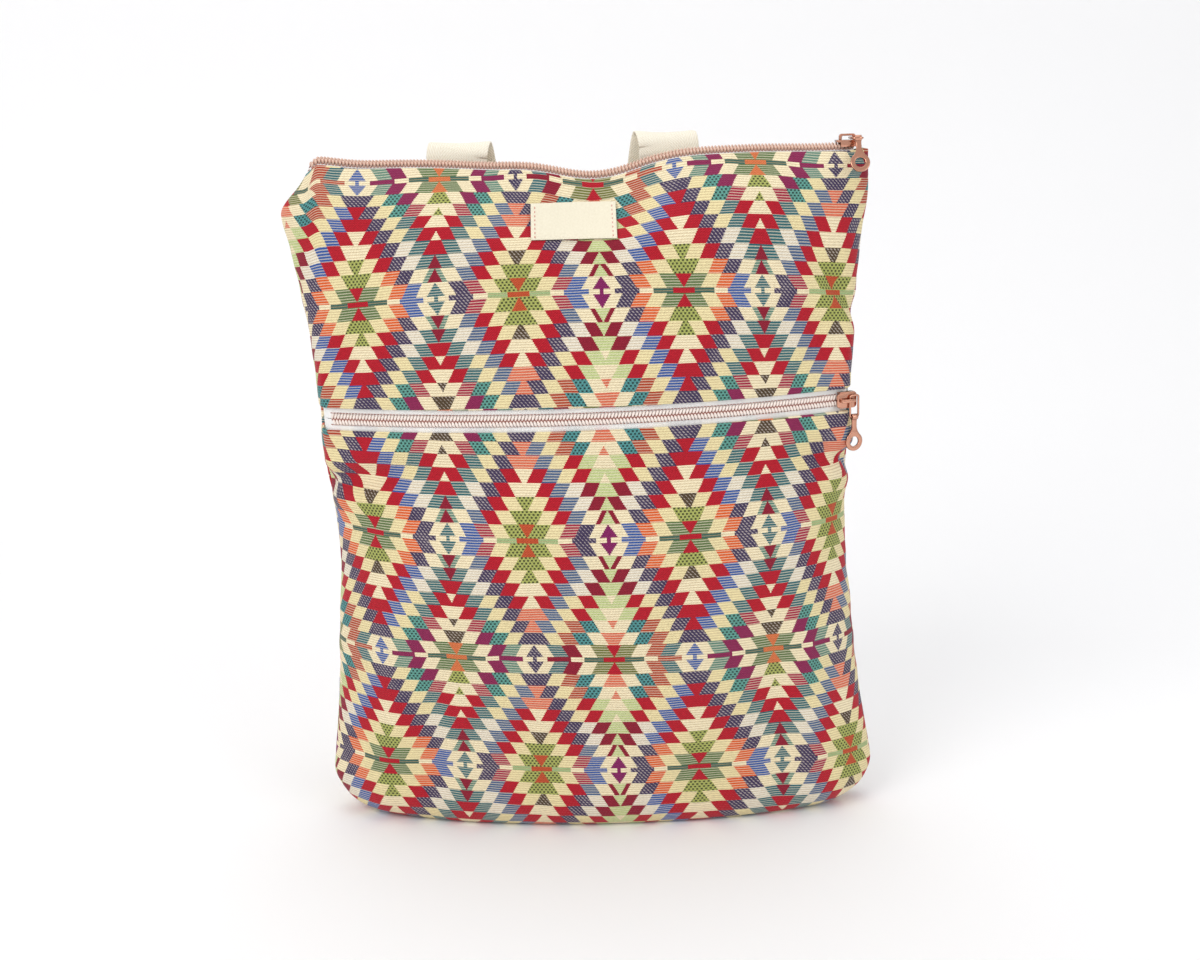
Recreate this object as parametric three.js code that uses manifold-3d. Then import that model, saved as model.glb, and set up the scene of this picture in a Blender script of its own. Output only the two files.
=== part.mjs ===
// Zip-top fabric backpack in a woven diamond pattern, with a zipped front pocket and webbing straps.
// Millimetres, +Z up, the front faces -Y. The origin is the middle of the base, on the floor.
import * as THREE from "three";
import { mergeVertices } from "three/addons/utils/BufferGeometryUtils.js";
import Module from "manifold-3d";

// Cloth and the gaps between pieces that touch
const clothThickness = 2;
const liningThickness = 0.8;
const touchGap = 0.3;

// Height of the sewn body and the lines that its pieces hang on, on the middle line of the front
const bodyHeight = 390;
const pocketZipDrop = 138;
const waistDrop = 72;
const hipHeight = 100;
const shoulderDrop = 42;
const upperShoulderDrop = 21;
const pocketFlatHalf = 17;

// The full bag leans to the left and its zips climb to the right
const leanDegrees = 2.7;
const zipClimbDegrees = 1.6;

// Rounded corner between the walls and the flat base
const baseCornerHeight = 28;
const baseCornerTuckAcross = 36;
const baseCornerTuckDeep = 14;
const baseSeamOffset = 16;
const baseSeamInset = 4;

// Half-widths and half-depths of the body at each level. It is oval up to the shoulder, and
// flat with a round corner at each side above it.
const bellyHalfWidth = 164.5;
const bellyHalfDepth = 44;
const hipHalfWidth = 155.5;
const hipHalfDepth = 54;
const waistHalfWidth = 149.5;
const waistHalfDepth = 60;
const pocketHalfWidth = 153.5;
const pocketHalfDepth = 50;
const shoulderHalfWidth = 162.5;
const shoulderHalfDepth = 40;
const upperShoulderHalfWidth = 165.5;
const upperShoulderHalfDepth = 27;
const upperShoulderCorner = 95;
const topLeftHalfWidth = 149;
const topRightHalfWidth = 166;
const topHalfDepth = 6.5;

// The pocket zip bends round the front as one arc, up to a small corner at each side seam
const pocketZipCorner = 7;
const pocketZipSagitta = 28;

// Zip tapes and coil chains
const tapeThickness = 0.8;
const tapeHalfWidth = 15;
const tapeEdgeInset = 1;
const tapeSplit = 0.2;
const tapeShowHalf = 6.3;
const topTapeRise = 2.8;
const topTapeLeg = 6;
const topTapeEndInset = 9;
const chainHalfWidth = 3;
const chainHeight = 2.2;
const chainEdgeHeight = 1.2;
const topChainEndInset = 9.5;
const pocketChainEndInset = 1;

// Sliders, wire links and pull tabs
const sliderLength = 13;
const sliderHalfWidth = 4.7;
const sliderNoseHalfWidth = 3.8;
const sliderNoseBevel = 0.8;
const sliderTailBevel = 1.4;
const sliderPlate = 1.2;
const flangeWidth = 1.1;
const flangeLength = 10;
const archFootSpacing = 8;
const archFootLength = 1.6;
const archWidth = 2;
const archHole = 2.2;
const archCrown = 1.2;
const archBevel = 0.96;
const topSliderEndInset = 12;
const pocketSliderEndInset = -1;
const linkWire = 1.2;
const linkInnerWidth = 4.3;
const linkInnerLength = 11.3;
const linkBehindFoot = 2;
const linkCornerRadius = 1.2;
const linkSideShift = 0.1;
const tabThickness = 1.4;
const tabEyeRadius = 1.75;
const tabEyeBore = 1;
const tabFlareShare = 0.75;
const tabSideClearance = 0.3;
const tabRingDistance = 14.5;
const tabRingRadius = 5.5;
const tabHoleRadius = 2.9;
const topTabHangDegrees = 64;

// Sewn label on the front
const labelWidth = 47;
const labelHeight = 18.5;
const labelThickness = 0.8;
const labelDrop = 33;
const labelSideShift = -3;
const labelTurnDegrees = -3;
const labelStandOff = 0.45;

// Shoulder straps of cotton webbing
const webbingWidth = 34;
const webbingThickness = 2.4;
const strapTopSpacing = 120;
const strapTopShift = -6;
const strapSewnLength = 40;
const strapFoldStart = 2;
const strapRise = 12.3;
const strapFoldRadius = 5.2;
const strapLowerAcross = 0.155;
const strapLowerSewnTop = 62;
const strapLowerSewnEnd = 31;
const strapSlack = 26;
const strapInwardSwing = 11;
const strapFoldSwing = 4;

// How finely the cloth is divided
const columnsAcross = 26;
const columnList = Array.from({ length: columnsAcross + 1 }, (_, i) => i / columnsAcross);
const cornerSteps = 5;
const baseSteps = 3;

const front = -1;
const back = 1;
const pocketZipHeight = bodyHeight - pocketZipDrop;
const waistHeight = pocketZipHeight - waistDrop;
const zipClimb = Math.tan(THREE.MathUtils.degToRad(zipClimbDegrees));
const lean = Math.tan(THREE.MathUtils.degToRad(leanDegrees));
const behindCloth = clothThickness + touchGap;

const zipFlatLow = pocketZipHeight - pocketFlatHalf;
const zipFlatHigh = pocketZipHeight + pocketFlatHalf;
const shoulderHeight = bodyHeight - shoulderDrop;

// Levels of the body from the base corner to the top edge
const stations = [
  station(baseCornerHeight, bellyHalfWidth, bellyHalfDepth, bellyHalfWidth),
  station(hipHeight, hipHalfWidth, hipHalfDepth, hipHalfWidth),
  station(waistHeight, waistHalfWidth, waistHalfDepth, waistHalfWidth),
  station(zipFlatLow, pocketHalfWidth, pocketHalfDepth, pocketHalfWidth),
  station(zipFlatHigh, pocketHalfWidth, pocketHalfDepth, pocketHalfWidth),
  station(shoulderHeight, shoulderHalfWidth, shoulderHalfDepth, shoulderHalfWidth),
  station(bodyHeight - upperShoulderDrop, upperShoulderHalfWidth, upperShoulderHalfDepth, upperShoulderCorner),
  { height: bodyHeight, left: topLeftHalfWidth, right: topRightHalfWidth, depth: topHalfDepth, corner: topHalfDepth },
];

function station(height, halfWidth, depth, corner) {
  return { height, left: halfWidth, right: halfWidth, depth, corner };
}

// Smooth value of one size at a height, through the stations
function sizeAt(height, key) {
  const last = stations.length - 1;
  let i = 0;
  while (i < last - 1 && height > stations[i + 1].height) i += 1;
  const a = stations[i];
  const b = stations[i + 1];
  const span = b.height - a.height;
  const t = THREE.MathUtils.clamp((height - a.height) / span, 0, 1);
  const rise = (b[key] - a[key]) / span;
  const before = i > 0 ? (a[key] - stations[i - 1][key]) / (a.height - stations[i - 1].height) : rise;
  const after = i < last - 1 ? (stations[i + 2][key] - b[key]) / (stations[i + 2].height - b.height) : rise;
  const slopeA = easedSlope(before, rise);
  const slopeB = easedSlope(rise, after);
  const t2 = t * t;
  const t3 = t2 * t;
  return (2 * t3 - 3 * t2 + 1) * a[key] + (t3 - 2 * t2 + t) * span * slopeA
    + (3 * t2 - 2 * t3) * b[key] + (t3 - t2) * span * slopeB;
}

// Slope at a station that never overshoots: flat where the sides turn round
function easedSlope(before, after) {
  return before * after <= 0 ? 0 : (2 * before * after) / (before + after);
}

// Arc of the pocket zip, seen from above
const zipArcHalf = pocketHalfWidth - pocketZipCorner;
const zipArcRadius = (zipArcHalf ** 2 + pocketZipSagitta ** 2) / (2 * pocketZipSagitta);

// Depth of the section at a share of its half-width, as a share of its half-depth
function roundDepth(share, cornerShare) {
  const intoCorner = Math.max(0, (Math.abs(share) - 1 + cornerShare) / cornerShare);
  return Math.sqrt(Math.max(0, 1 - intoCorner * intoCorner));
}

function zipLevelDepth(share) {
  const out = Math.abs(share) * pocketHalfWidth;
  if (out <= zipArcHalf) {
    return 1 - (zipArcRadius - Math.sqrt(zipArcRadius ** 2 - out * out)) / pocketHalfDepth;
  }
  const roundCorner = Math.sqrt(Math.max(0, 1 - ((out - zipArcHalf) / pocketZipCorner) ** 2));
  return (1 - pocketZipSagitta / pocketHalfDepth) * roundCorner;
}

function depthAt(side, height, share) {
  const arcShare = side === back ? 0 : THREE.MathUtils.smoothstep(height, waistHeight, zipFlatLow)
    * (1 - THREE.MathUtils.smoothstep(height, zipFlatHigh, shoulderHeight));
  const cornerShare = Math.min(1, sizeAt(height, "corner") / sizeAt(height, share < 0 ? "left" : "right"));
  return THREE.MathUtils.lerp(roundDepth(share, cornerShare), zipLevelDepth(share), arcShare);
}

// Depth of the skin at a place across and a height, and the point there, lifted off it by a stand-off
function skinDepth(side, x, height) {
  const fromMiddle = x + lean * height;
  const share = fromMiddle / sizeAt(height, fromMiddle < 0 ? "left" : "right");
  return sizeAt(height, "depth") * depthAt(side, height, share) + touchGap / 2;
}

function onBack(x, height, standOff) {
  const step = 0.2;
  const slope = (skinDepth(back, x, height + step) - skinDepth(back, x, height - step)) / (2 * step);
  const outward = new THREE.Vector3(0, 1, -slope).normalize();
  const at = new THREE.Vector3(x, skinDepth(back, x, height), height + climbAt(height) * x);
  return at.addScaledVector(outward, standOff);
}

// Half of the body's section, from the left seam over the front (or back) to the right seam
const sectionSteps = 96;
const sectionCache = new Map();
function halfSection(side, height, tuck) {
  const name = [side, height.toFixed(4), tuck.toFixed(5)].join();
  if (!sectionCache.has(name)) {
    const left = sizeAt(height, "left") - baseCornerTuckAcross * tuck;
    const right = sizeAt(height, "right") - baseCornerTuckAcross * tuck;
    const depth = sizeAt(height, "depth") - baseCornerTuckDeep * tuck;
    sectionCache.set(name, new THREE.Path(evenly(-1, 1, sectionSteps).map((step) => {
      const share = Math.sin((Math.PI / 2) * step);
      return new THREE.Vector2(share * (share < 0 ? left : right), -depth * depthAt(side, height, share));
    })));
  }
  return sectionCache.get(name);
}

// The zips climb above the waist, and the base stays level
function climbAt(height) {
  return zipClimb * THREE.MathUtils.smoothstep(height, 0, waistHeight);
}

// Point of the outer skin. across runs 0 to 1 from left to right, and run is the way up the wall:
// 0 at the top of the base corner, negative round the corner and down to the base.
function skinPoint(side, across, run) {
  const turn = Math.max(0, -run) / baseCornerHeight;
  const height = run >= 0 ? baseCornerHeight + run : baseCornerHeight * (1 - Math.sin(turn));
  const wallHeight = Math.max(height, baseCornerHeight);
  const at = halfSection(side, wallHeight, 1 - Math.cos(turn)).getPoint(across);
  const x = at.x - lean * height;
  return new THREE.Vector3(x, -side * at.y + (side * touchGap) / 2, height + climbAt(height) * x);
}

function skinNormal(side, across, run) {
  const step = 0.002;
  const lower = Math.max(run - 0.2, -baseCornerRun);
  const alongX = skinPoint(side, Math.min(across + step, 1), run)
    .sub(skinPoint(side, Math.max(across - step, 0), run));
  const alongZ = skinPoint(side, across, run + 0.2).sub(skinPoint(side, across, lower));
  const normal = alongX.cross(alongZ).multiplyScalar(-side);
  const atSideSeam = across === 0 || across === 1;
  return (atSideSeam ? normal.setY(0) : normal).normalize();
}
const baseCornerRun = (baseCornerHeight * Math.PI) / 2;

function insideSkin(side, across, run, inset) {
  return skinPoint(side, across, run).addScaledVector(skinNormal(side, across, run), -inset);
}

// Rows of cloth: each row is a list of [outer, inner] pairs of points
function wallRow(side, height, inset, thickness) {
  const run = height - baseCornerHeight;
  return columnList.map((across) => [
    insideSkin(side, across, run, inset),
    insideSkin(side, across, run, inset + thickness),
  ]);
}

function cornerRows(side, inset, thickness) {
  return evenly(0, -baseCornerRun, cornerSteps).slice(1).map((run) => columnList.map((across) => [
    insideSkin(side, across, run, inset),
    insideSkin(side, across, run, inset + thickness),
  ]));
}

// The base closes inwards to a seam that curves from corner to corner behind the middle
function baseRows(side, inset, thickness) {
  const reach = bellyHalfWidth - baseCornerTuckAcross;
  return evenly(0, 1, baseSteps).slice(1).map((share) => columnList.map((across) => {
    const ring = skinPoint(side, across, -baseCornerRun);
    const seamX = ring.x * (1 - baseSeamInset / reach);
    const bow = 1 - (ring.x / reach) ** 2;
    const seam = new THREE.Vector3(seamX, baseSeamOffset * bow + (side * touchGap) / 2, 0);
    const at = ring.lerp(seam, share);
    return [at.clone().setZ(inset), at.clone().setZ(inset + thickness)];
  }));
}

function evenly(from, to, steps) {
  return Array.from({ length: steps + 1 }, (_, i) => from + ((to - from) * i) / steps);
}

// A closed solid from rows of [outer, inner] points
function clothSolid(rows) {
  const wide = rows[0].length;
  const positions = [];
  rows.forEach((row) => row.forEach(([outer]) => positions.push(...outer)));
  rows.forEach((row) => row.forEach(([, inner]) => positions.push(...inner)));
  const innerStart = rows.length * wide;
  const index = [];
  const quad = (a, b, c, d) => index.push(a, b, c, a, c, d);
  for (let r = 0; r < rows.length - 1; r += 1) {
    for (let c = 0; c < wide - 1; c += 1) {
      const at = r * wide + c;
      quad(at, at + wide, at + wide + 1, at + 1);
      quad(innerStart + at, innerStart + at + 1, innerStart + at + wide + 1, innerStart + at + wide);
    }
    const left = r * wide;
    const right = left + wide - 1;
    quad(left, innerStart + left, innerStart + left + wide, left + wide);
    quad(right, right + wide, innerStart + right + wide, innerStart + right);
  }
  const lastRow = (rows.length - 1) * wide;
  for (let c = 0; c < wide - 1; c += 1) {
    quad(c, c + 1, innerStart + c + 1, innerStart + c);
    quad(lastRow + c, innerStart + lastRow + c, innerStart + lastRow + c + 1, lastRow + c + 1);
  }
  const geometry = new THREE.BufferGeometry();
  geometry.setAttribute("position", new THREE.Float32BufferAttribute(positions, 3));
  geometry.setIndex(index);
  return facingOut(geometry);
}

// Turns a closed geometry the right way out, by the sign of its volume
function facingOut(geometry) {
  const p = geometry.attributes.position;
  const index = geometry.index.array;
  const [a, b, c] = [new THREE.Vector3(), new THREE.Vector3(), new THREE.Vector3()];
  let volume = 0;
  for (let i = 0; i < index.length; i += 3) {
    a.fromBufferAttribute(p, index[i]);
    b.fromBufferAttribute(p, index[i + 1]);
    c.fromBufferAttribute(p, index[i + 2]);
    volume += a.dot(b.cross(c));
  }
  if (volume < 0) {
    for (let i = 0; i < index.length; i += 3) {
      [index[i + 1], index[i + 2]] = [index[i + 2], index[i + 1]];
    }
  }
  geometry.computeVertexNormals();
  return geometry;
}

// Woven pattern: stepped diamonds on a lattice, drawn as rings of colour round each centre
const patternHalfPeriod = 46.5;
const patternHalfRise = 78;
const ringsPerHalfPeriod = 4.2;
const crimson = new THREE.Color(0xb3202c);
const cream = new THREE.Color(0xf0e6c4);
const teal = new THREE.Color(0x3f8a8c);
const navy = new THREE.Color(0x3b3a5e);
const slateBlue = new THREE.Color(0x5b7bb0);
const olive = new THREE.Color(0x7d9a45);
const orange = new THREE.Color(0xe08050);
const ringColours = [teal, cream, crimson, teal, cream, navy, crimson, cream, olive];

function patternColour(x, z) {
  const column = Math.round(x / patternHalfPeriod);
  const row = Math.round(z / patternHalfRise);
  const dx = Math.abs(x / patternHalfPeriod - column);
  const dz = Math.abs(z / patternHalfRise - row);
  const diamond = (column + row) % 2 === 0;
  const ring = Math.floor((diamond ? dx + dz : 2 - dx - dz) * ringsPerHalfPeriod);
  if (!diamond && ring > ringColours.length - 2) return row % 2 === 0 ? orange : olive;
  return column % 3 === 0 && ring === 3 ? slateBlue : ringColours[ring % ringColours.length];
}

function paintPattern(geometry) {
  const painted = geometry.toNonIndexed();
  const p = painted.attributes.position;
  const colours = [];
  for (let i = 0; i < p.count; i += 3) {
    const x = (p.getX(i) + p.getX(i + 1) + p.getX(i + 2)) / 3;
    const z = (p.getZ(i) + p.getZ(i + 1) + p.getZ(i + 2)) / 3;
    const colour = patternColour(x + lean * z, z);
    for (let k = 0; k < 3; k += 1) colours.push(colour.r, colour.g, colour.b);
  }
  painted.setAttribute("color", new THREE.Float32BufferAttribute(colours, 3));
  return painted;
}

// Materials
const tapestry = new THREE.MeshStandardMaterial({ vertexColors: true, roughness: 0.9, metalness: 0 });
const liningCloth = new THREE.MeshStandardMaterial({ color: 0xd9cfb4, roughness: 0.9, metalness: 0 });
const tapeCotton = new THREE.MeshStandardMaterial({ color: 0xf4f2ee, roughness: 0.85, metalness: 0 });
const coilNylon = new THREE.MeshStandardMaterial({ color: 0xd9b3a2, roughness: 0.3, metalness: 0.6 });
const roseGold = new THREE.MeshStandardMaterial({ color: 0xd69a80, roughness: 0.22, metalness: 1 });
const creamWebbing = new THREE.MeshStandardMaterial({ color: 0xeee6d3, roughness: 0.9, metalness: 0 });
const creamCotton = new THREE.MeshStandardMaterial({ color: 0xf5efdc, roughness: 0.9, metalness: 0 });

const bag = new THREE.Group();

function addPiece(parent, name, geometry, material) {
  const mesh = new THREE.Mesh(geometry, material);
  mesh.name = name;
  parent.add(mesh);
  return mesh;
}

// Front cloth above the pocket zip, front cloth below it and under the base, and the back cloth
const upperEdge = pocketZipHeight + tapeShowHalf;
const lowerEdge = pocketZipHeight - tapeShowHalf;
const upperTapeEnd = pocketZipHeight + tapeHalfWidth;
const lowerTapeEnd = pocketZipHeight - tapeHalfWidth;

const frontUpperRows = [upperEdge, ...evenly(upperTapeEnd, bodyHeight, 12)]
  .map((height) => wallRow(front, height, 0, clothThickness));
addPiece(bag, "front_upper_panel", paintPattern(clothSolid(frontUpperRows)), tapestry);

const frontLowerRows = [lowerEdge, ...evenly(lowerTapeEnd, baseCornerHeight, 13)]
  .map((height) => wallRow(front, height, 0, clothThickness))
  .concat(cornerRows(front, 0, clothThickness), baseRows(front, 0, clothThickness));
addPiece(bag, "front_lower_panel", paintPattern(clothSolid(frontLowerRows)), tapestry);

const backRows = [...evenly(bodyHeight, bodyHeight - shoulderDrop, 5),
  ...evenly(bodyHeight - shoulderDrop, baseCornerHeight, 17).slice(1)]
  .map((height) => wallRow(back, height, 0, clothThickness))
  .concat(cornerRows(back, 0, clothThickness), baseRows(back, 0, clothThickness));
addPiece(bag, "back_panel", paintPattern(clothSolid(backRows)), tapestry);

// Sheet between the front pocket and the main compartment, sewn behind the upper zip tape
const pocketDepth = 14;
const dividerSettle = 45;
const dividerEdgeInset = behindCloth + tapeThickness + touchGap;
const dividerFoot = 0.5;
const dividerTop = upperTapeEnd - tapeEdgeInset;

function dividerRow(height) {
  const run = height - baseCornerHeight;
  const ease = THREE.MathUtils.smoothstep(dividerTop - height, 0, dividerSettle);
  return columnList.map((across) => {
    const middle = Math.sin(Math.PI * across) ** 0.5;
    const inset = dividerEdgeInset + pocketDepth * ease * middle;
    return [insideSkin(front, across, run, inset), insideSkin(front, across, run, inset + liningThickness)];
  });
}

function dividerFootRow() {
  return columnList.map((across) => {
    const inset = dividerEdgeInset + pocketDepth * Math.sin(Math.PI * across) ** 0.5;
    const outer = insideSkin(front, across, 0, inset);
    const inner = insideSkin(front, across, 0, inset + liningThickness);
    const tuck = baseCornerTuckAcross / bellyHalfWidth;
    return [outer, inner].map((at) => new THREE.Vector3(
      at.x * (1 - tuck), at.y * (1 - baseCornerTuckDeep / bellyHalfDepth), clothThickness + dividerFoot));
  });
}

const dividerRows = [upperEdge, lowerEdge].map(dividerRow);
dividerRows.unshift(dividerRow(dividerTop));
evenly(lowerTapeEnd, baseCornerHeight, 13).forEach((height) => dividerRows.push(dividerRow(height)));
dividerRows.push(dividerFootRow());
addPiece(bag, "pocket_divider", clothSolid(dividerRows), liningCloth);

// Pocket zip tapes, on the inside of the cloth edges
const upperTapeRows = [tapeSplit, tapeShowHalf, tapeHalfWidth - tapeEdgeInset]
  .map((up) => wallRow(front, pocketZipHeight + up, behindCloth, tapeThickness));
addPiece(bag, "pocket_tape_upper", clothSolid(upperTapeRows), tapeCotton);
const lowerTapeRows = [tapeSplit, tapeShowHalf, tapeHalfWidth - tapeEdgeInset]
  .map((down) => wallRow(front, pocketZipHeight - down, behindCloth, tapeThickness));
addPiece(bag, "pocket_tape_lower", clothSolid(lowerTapeRows), tapeCotton);

// Frames of the two zips: X along the zip, Z out of it, Y across it
const zipTurn = -THREE.MathUtils.degToRad(zipClimbDegrees);
const topZip = new THREE.Group();
topZip.position.set(0, 0, bodyHeight + topTapeRise);
topZip.rotation.y = zipTurn;
bag.add(topZip);

const pocketZip = new THREE.Group();
const pocketCentre = -lean * pocketZipHeight;
const zipArcCentre = zipArcRadius - pocketHalfDepth - touchGap / 2;
pocketZip.position.set(pocketCentre, zipArcCentre, pocketZipHeight + climbAt(pocketZipHeight) * pocketCentre);
pocketZip.rotation.y = zipTurn;
bag.add(pocketZip);
const pocketFace = new THREE.Group();
pocketFace.rotation.x = Math.PI / 2;
pocketZip.add(pocketFace);
const tapeArcRadius = zipArcRadius - behindCloth;

// Extrudes a section drawn across and up, along X from one place to another
function extrudeAlongX(shape, fromX, toX, steps = 1) {
  const geometry = new THREE.ExtrudeGeometry(shape, { depth: toX - fromX, steps, bevelEnabled: false });
  geometry.applyMatrix4(new THREE.Matrix4().makeBasis(
    new THREE.Vector3(0, 1, 0), new THREE.Vector3(0, 0, 1), new THREE.Vector3(1, 0, 0)));
  return geometry.translate(fromX, 0, 0);
}

function shapeOf(points) {
  return new THREE.Shape(points.map(([x, y]) => new THREE.Vector2(x, y)));
}

// Top zip tapes: a leg inside the cloth edge and a strip under the chain
const topCentre = -lean * bodyHeight;
const topLeftEnd = topCentre - topLeftHalfWidth;
const topRightEnd = topCentre + topRightHalfWidth;
const topTapeGap = 0.45;
const tapeStand = topHalfDepth - clothThickness - topTapeGap;

function topTapeShape(side) {
  return shapeOf([
    [side * tapeStand, -topTapeRise - topTapeLeg],
    [side * tapeStand, 0],
    [side * tapeSplit, 0],
    [side * tapeSplit, -tapeThickness],
    [side * (tapeStand - tapeThickness), -tapeThickness],
    [side * (tapeStand - tapeThickness), -topTapeRise - topTapeLeg],
  ]);
}
for (const [side, name] of [[front, "top_tape_front"], [back, "top_tape_back"]]) {
  const tape = extrudeAlongX(topTapeShape(side), topLeftEnd + topTapeEndInset, topRightEnd - topTapeEndInset);
  addPiece(topZip, name, tape, tapeCotton);
}

// Coil chains: two rounded beads side by side
function chainShape() {
  const shape = new THREE.Shape();
  const bead = chainHalfWidth / 2;
  const sideCorner = 0.02 * bead;
  const beadRise = chainHeight - chainEdgeHeight;
  shape.moveTo(-chainHalfWidth, 0);
  shape.lineTo(chainHalfWidth, 0);
  for (const centre of [bead, -bead]) {
    for (let k = 0; k <= 5; k += 1) {
      const turn = (Math.PI * k) / 5;
      const reach = k === 0 || k === 5 ? bead - sideCorner : bead;
      shape.lineTo(centre + reach * Math.cos(turn), chainEdgeHeight + beadRise * Math.sin(turn));
    }
  }
  shape.closePath();
  return shape;
}
const topChain = extrudeAlongX(chainShape(), topLeftEnd + topChainEndInset, topRightEnd - topChainEndInset);
addPiece(topZip, "top_chain", topChain.translate(0, 0, touchGap), coilNylon);

// Bends what was made straight along X round the pocket zip's arc, whose centre becomes the origin
function bendRoundFront(geometry) {
  const p = geometry.attributes.position;
  for (let i = 0; i < p.count; i += 1) {
    const turn = p.getX(i) / tapeArcRadius;
    const radius = tapeArcRadius + p.getZ(i);
    p.setXYZ(i, radius * Math.sin(turn), p.getY(i), radius * Math.cos(turn));
  }
  geometry.computeVertexNormals();
  return geometry;
}

function placeOnArc(acrossX) {
  return tapeArcRadius * Math.asin(acrossX / zipArcRadius);
}
const pocketChainHalf = placeOnArc(zipArcHalf) - pocketChainEndInset;
const pocketChainSteps = 36;
const pocketChain = extrudeAlongX(chainShape(), -pocketChainHalf, pocketChainHalf, pocketChainSteps);
addPiece(pocketFace, "pocket_chain", bendRoundFront(pocketChain.translate(0, 0, touchGap)), coilNylon);

// Solid joining and cutting
const wasm = await Module();
wasm.setup();

function toSolid(geometry) {
  const bare = geometry.clone();
  bare.deleteAttribute("normal");
  bare.deleteAttribute("uv");
  const merged = mergeVertices(bare, 1e-4);
  return new wasm.Manifold(new wasm.Mesh({
    numProp: 3,
    vertProperties: merged.attributes.position.array,
    triVerts: new Uint32Array(merged.index.array),
  }));
}

function toGeometry(solid) {
  const mesh = solid.getMesh();
  const geometry = new THREE.BufferGeometry();
  geometry.setAttribute("position", new THREE.Float32BufferAttribute(mesh.vertProperties, 3));
  geometry.setIndex(new THREE.BufferAttribute(new Uint32Array(mesh.triVerts), 1));
  geometry.computeVertexNormals();
  return geometry;
}

// Slider: a plate over the chain, two flanges beside it and an arch with two feet on top.
// Its own origin is under the middle of the plate, on the tape.
const plateBottom = touchGap + chainHeight + touchGap;
const plateTop = plateBottom + sliderPlate;
const sliderOutline = shapeOf([
  [-sliderLength / 2, -sliderNoseHalfWidth + sliderNoseBevel],
  [-sliderLength / 2 + sliderNoseBevel, -sliderNoseHalfWidth],
  [0, -sliderHalfWidth],
  [sliderLength / 2 - sliderTailBevel, -sliderHalfWidth],
  [sliderLength / 2, -sliderHalfWidth + sliderTailBevel],
  [sliderLength / 2, sliderHalfWidth - sliderTailBevel],
  [sliderLength / 2 - sliderTailBevel, sliderHalfWidth],
  [0, sliderHalfWidth],
  [-sliderLength / 2 + sliderNoseBevel, sliderNoseHalfWidth],
  [-sliderLength / 2, sliderNoseHalfWidth - sliderNoseBevel],
]);

function sliderGeometry() {
  const plate = new THREE.ExtrudeGeometry(sliderOutline, { depth: sliderPlate, bevelEnabled: false });
  let solid = toSolid(plate.translate(0, 0, plateBottom));
  for (const side of [front, back]) {
    const height = plateBottom + sliderPlate / 2 - touchGap;
    const flange = new THREE.BoxGeometry(flangeLength, flangeWidth, height);
    flange.translate(0.5, side * (sliderHalfWidth - flangeWidth / 2), touchGap + height / 2);
    solid = solid.add(toSolid(flange));
  }
  return toGeometry(solid.add(toSolid(archGeometry())));
}

function archGeometry() {
  const reach = archFootSpacing / 2 + archFootLength / 2;
  const inner = reach - archFootLength;
  const low = plateTop - sliderPlate / 2;
  const crownLow = plateTop + archHole;
  const crownTop = crownLow + archCrown;
  const shape = shapeOf([
    [-reach, low], [-inner, low], [-inner, crownLow], [inner, crownLow], [inner, low], [reach, low],
    [reach, crownTop - archBevel], [reach - archBevel, crownTop],
    [-reach + archBevel, crownTop], [-reach, crownTop - archBevel],
  ]);
  const geometry = new THREE.ExtrudeGeometry(shape, { depth: archWidth, bevelEnabled: false });
  geometry.applyMatrix4(new THREE.Matrix4().makeBasis(
    new THREE.Vector3(1, 0, 0), new THREE.Vector3(0, 0, 1), new THREE.Vector3(0, -1, 0)));
  return geometry.translate(0, archWidth / 2, 0);
}

// Wire link: a closed loop round the arch's right foot. Its own origin is the foot's axis.
const linkHeight = plateTop + archHole / 2;
const linkOuterHalf = linkInnerWidth / 2 + linkWire;
const linkBarDistance = linkInnerLength - linkBehindFoot + linkWire / 2;

function roundedLoop(target, left, right, low, high, radius) {
  target.moveTo(left + radius, low);
  target.lineTo(right - radius, low);
  target.absarc(right - radius, low + radius, radius, -Math.PI / 2, 0, false);
  target.lineTo(right, high - radius);
  target.absarc(right - radius, high - radius, radius, 0, Math.PI / 2, false);
  target.lineTo(left + radius, high);
  target.absarc(left + radius, high - radius, radius, Math.PI / 2, Math.PI, false);
  target.lineTo(left, low + radius);
  target.absarc(left + radius, low + radius, radius, Math.PI, 1.5 * Math.PI, false);
  return target;
}

function linkGeometry() {
  const high = linkBehindFoot;
  const low = linkBehindFoot - linkInnerLength;
  const shape = roundedLoop(new THREE.Shape(), linkSideShift - linkOuterHalf, linkSideShift + linkOuterHalf,
    low - linkWire, high + linkWire, linkCornerRadius);
  shape.holes.push(roundedLoop(new THREE.Path(), linkSideShift - linkInnerWidth / 2,
    linkSideShift + linkInnerWidth / 2, low, high, linkCornerRadius - linkWire / 2));
  const geometry = new THREE.ExtrudeGeometry(shape, { depth: linkWire, bevelEnabled: false, curveSegments: 4 });
  return geometry.translate(0, 0, -linkWire / 2);
}

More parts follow.
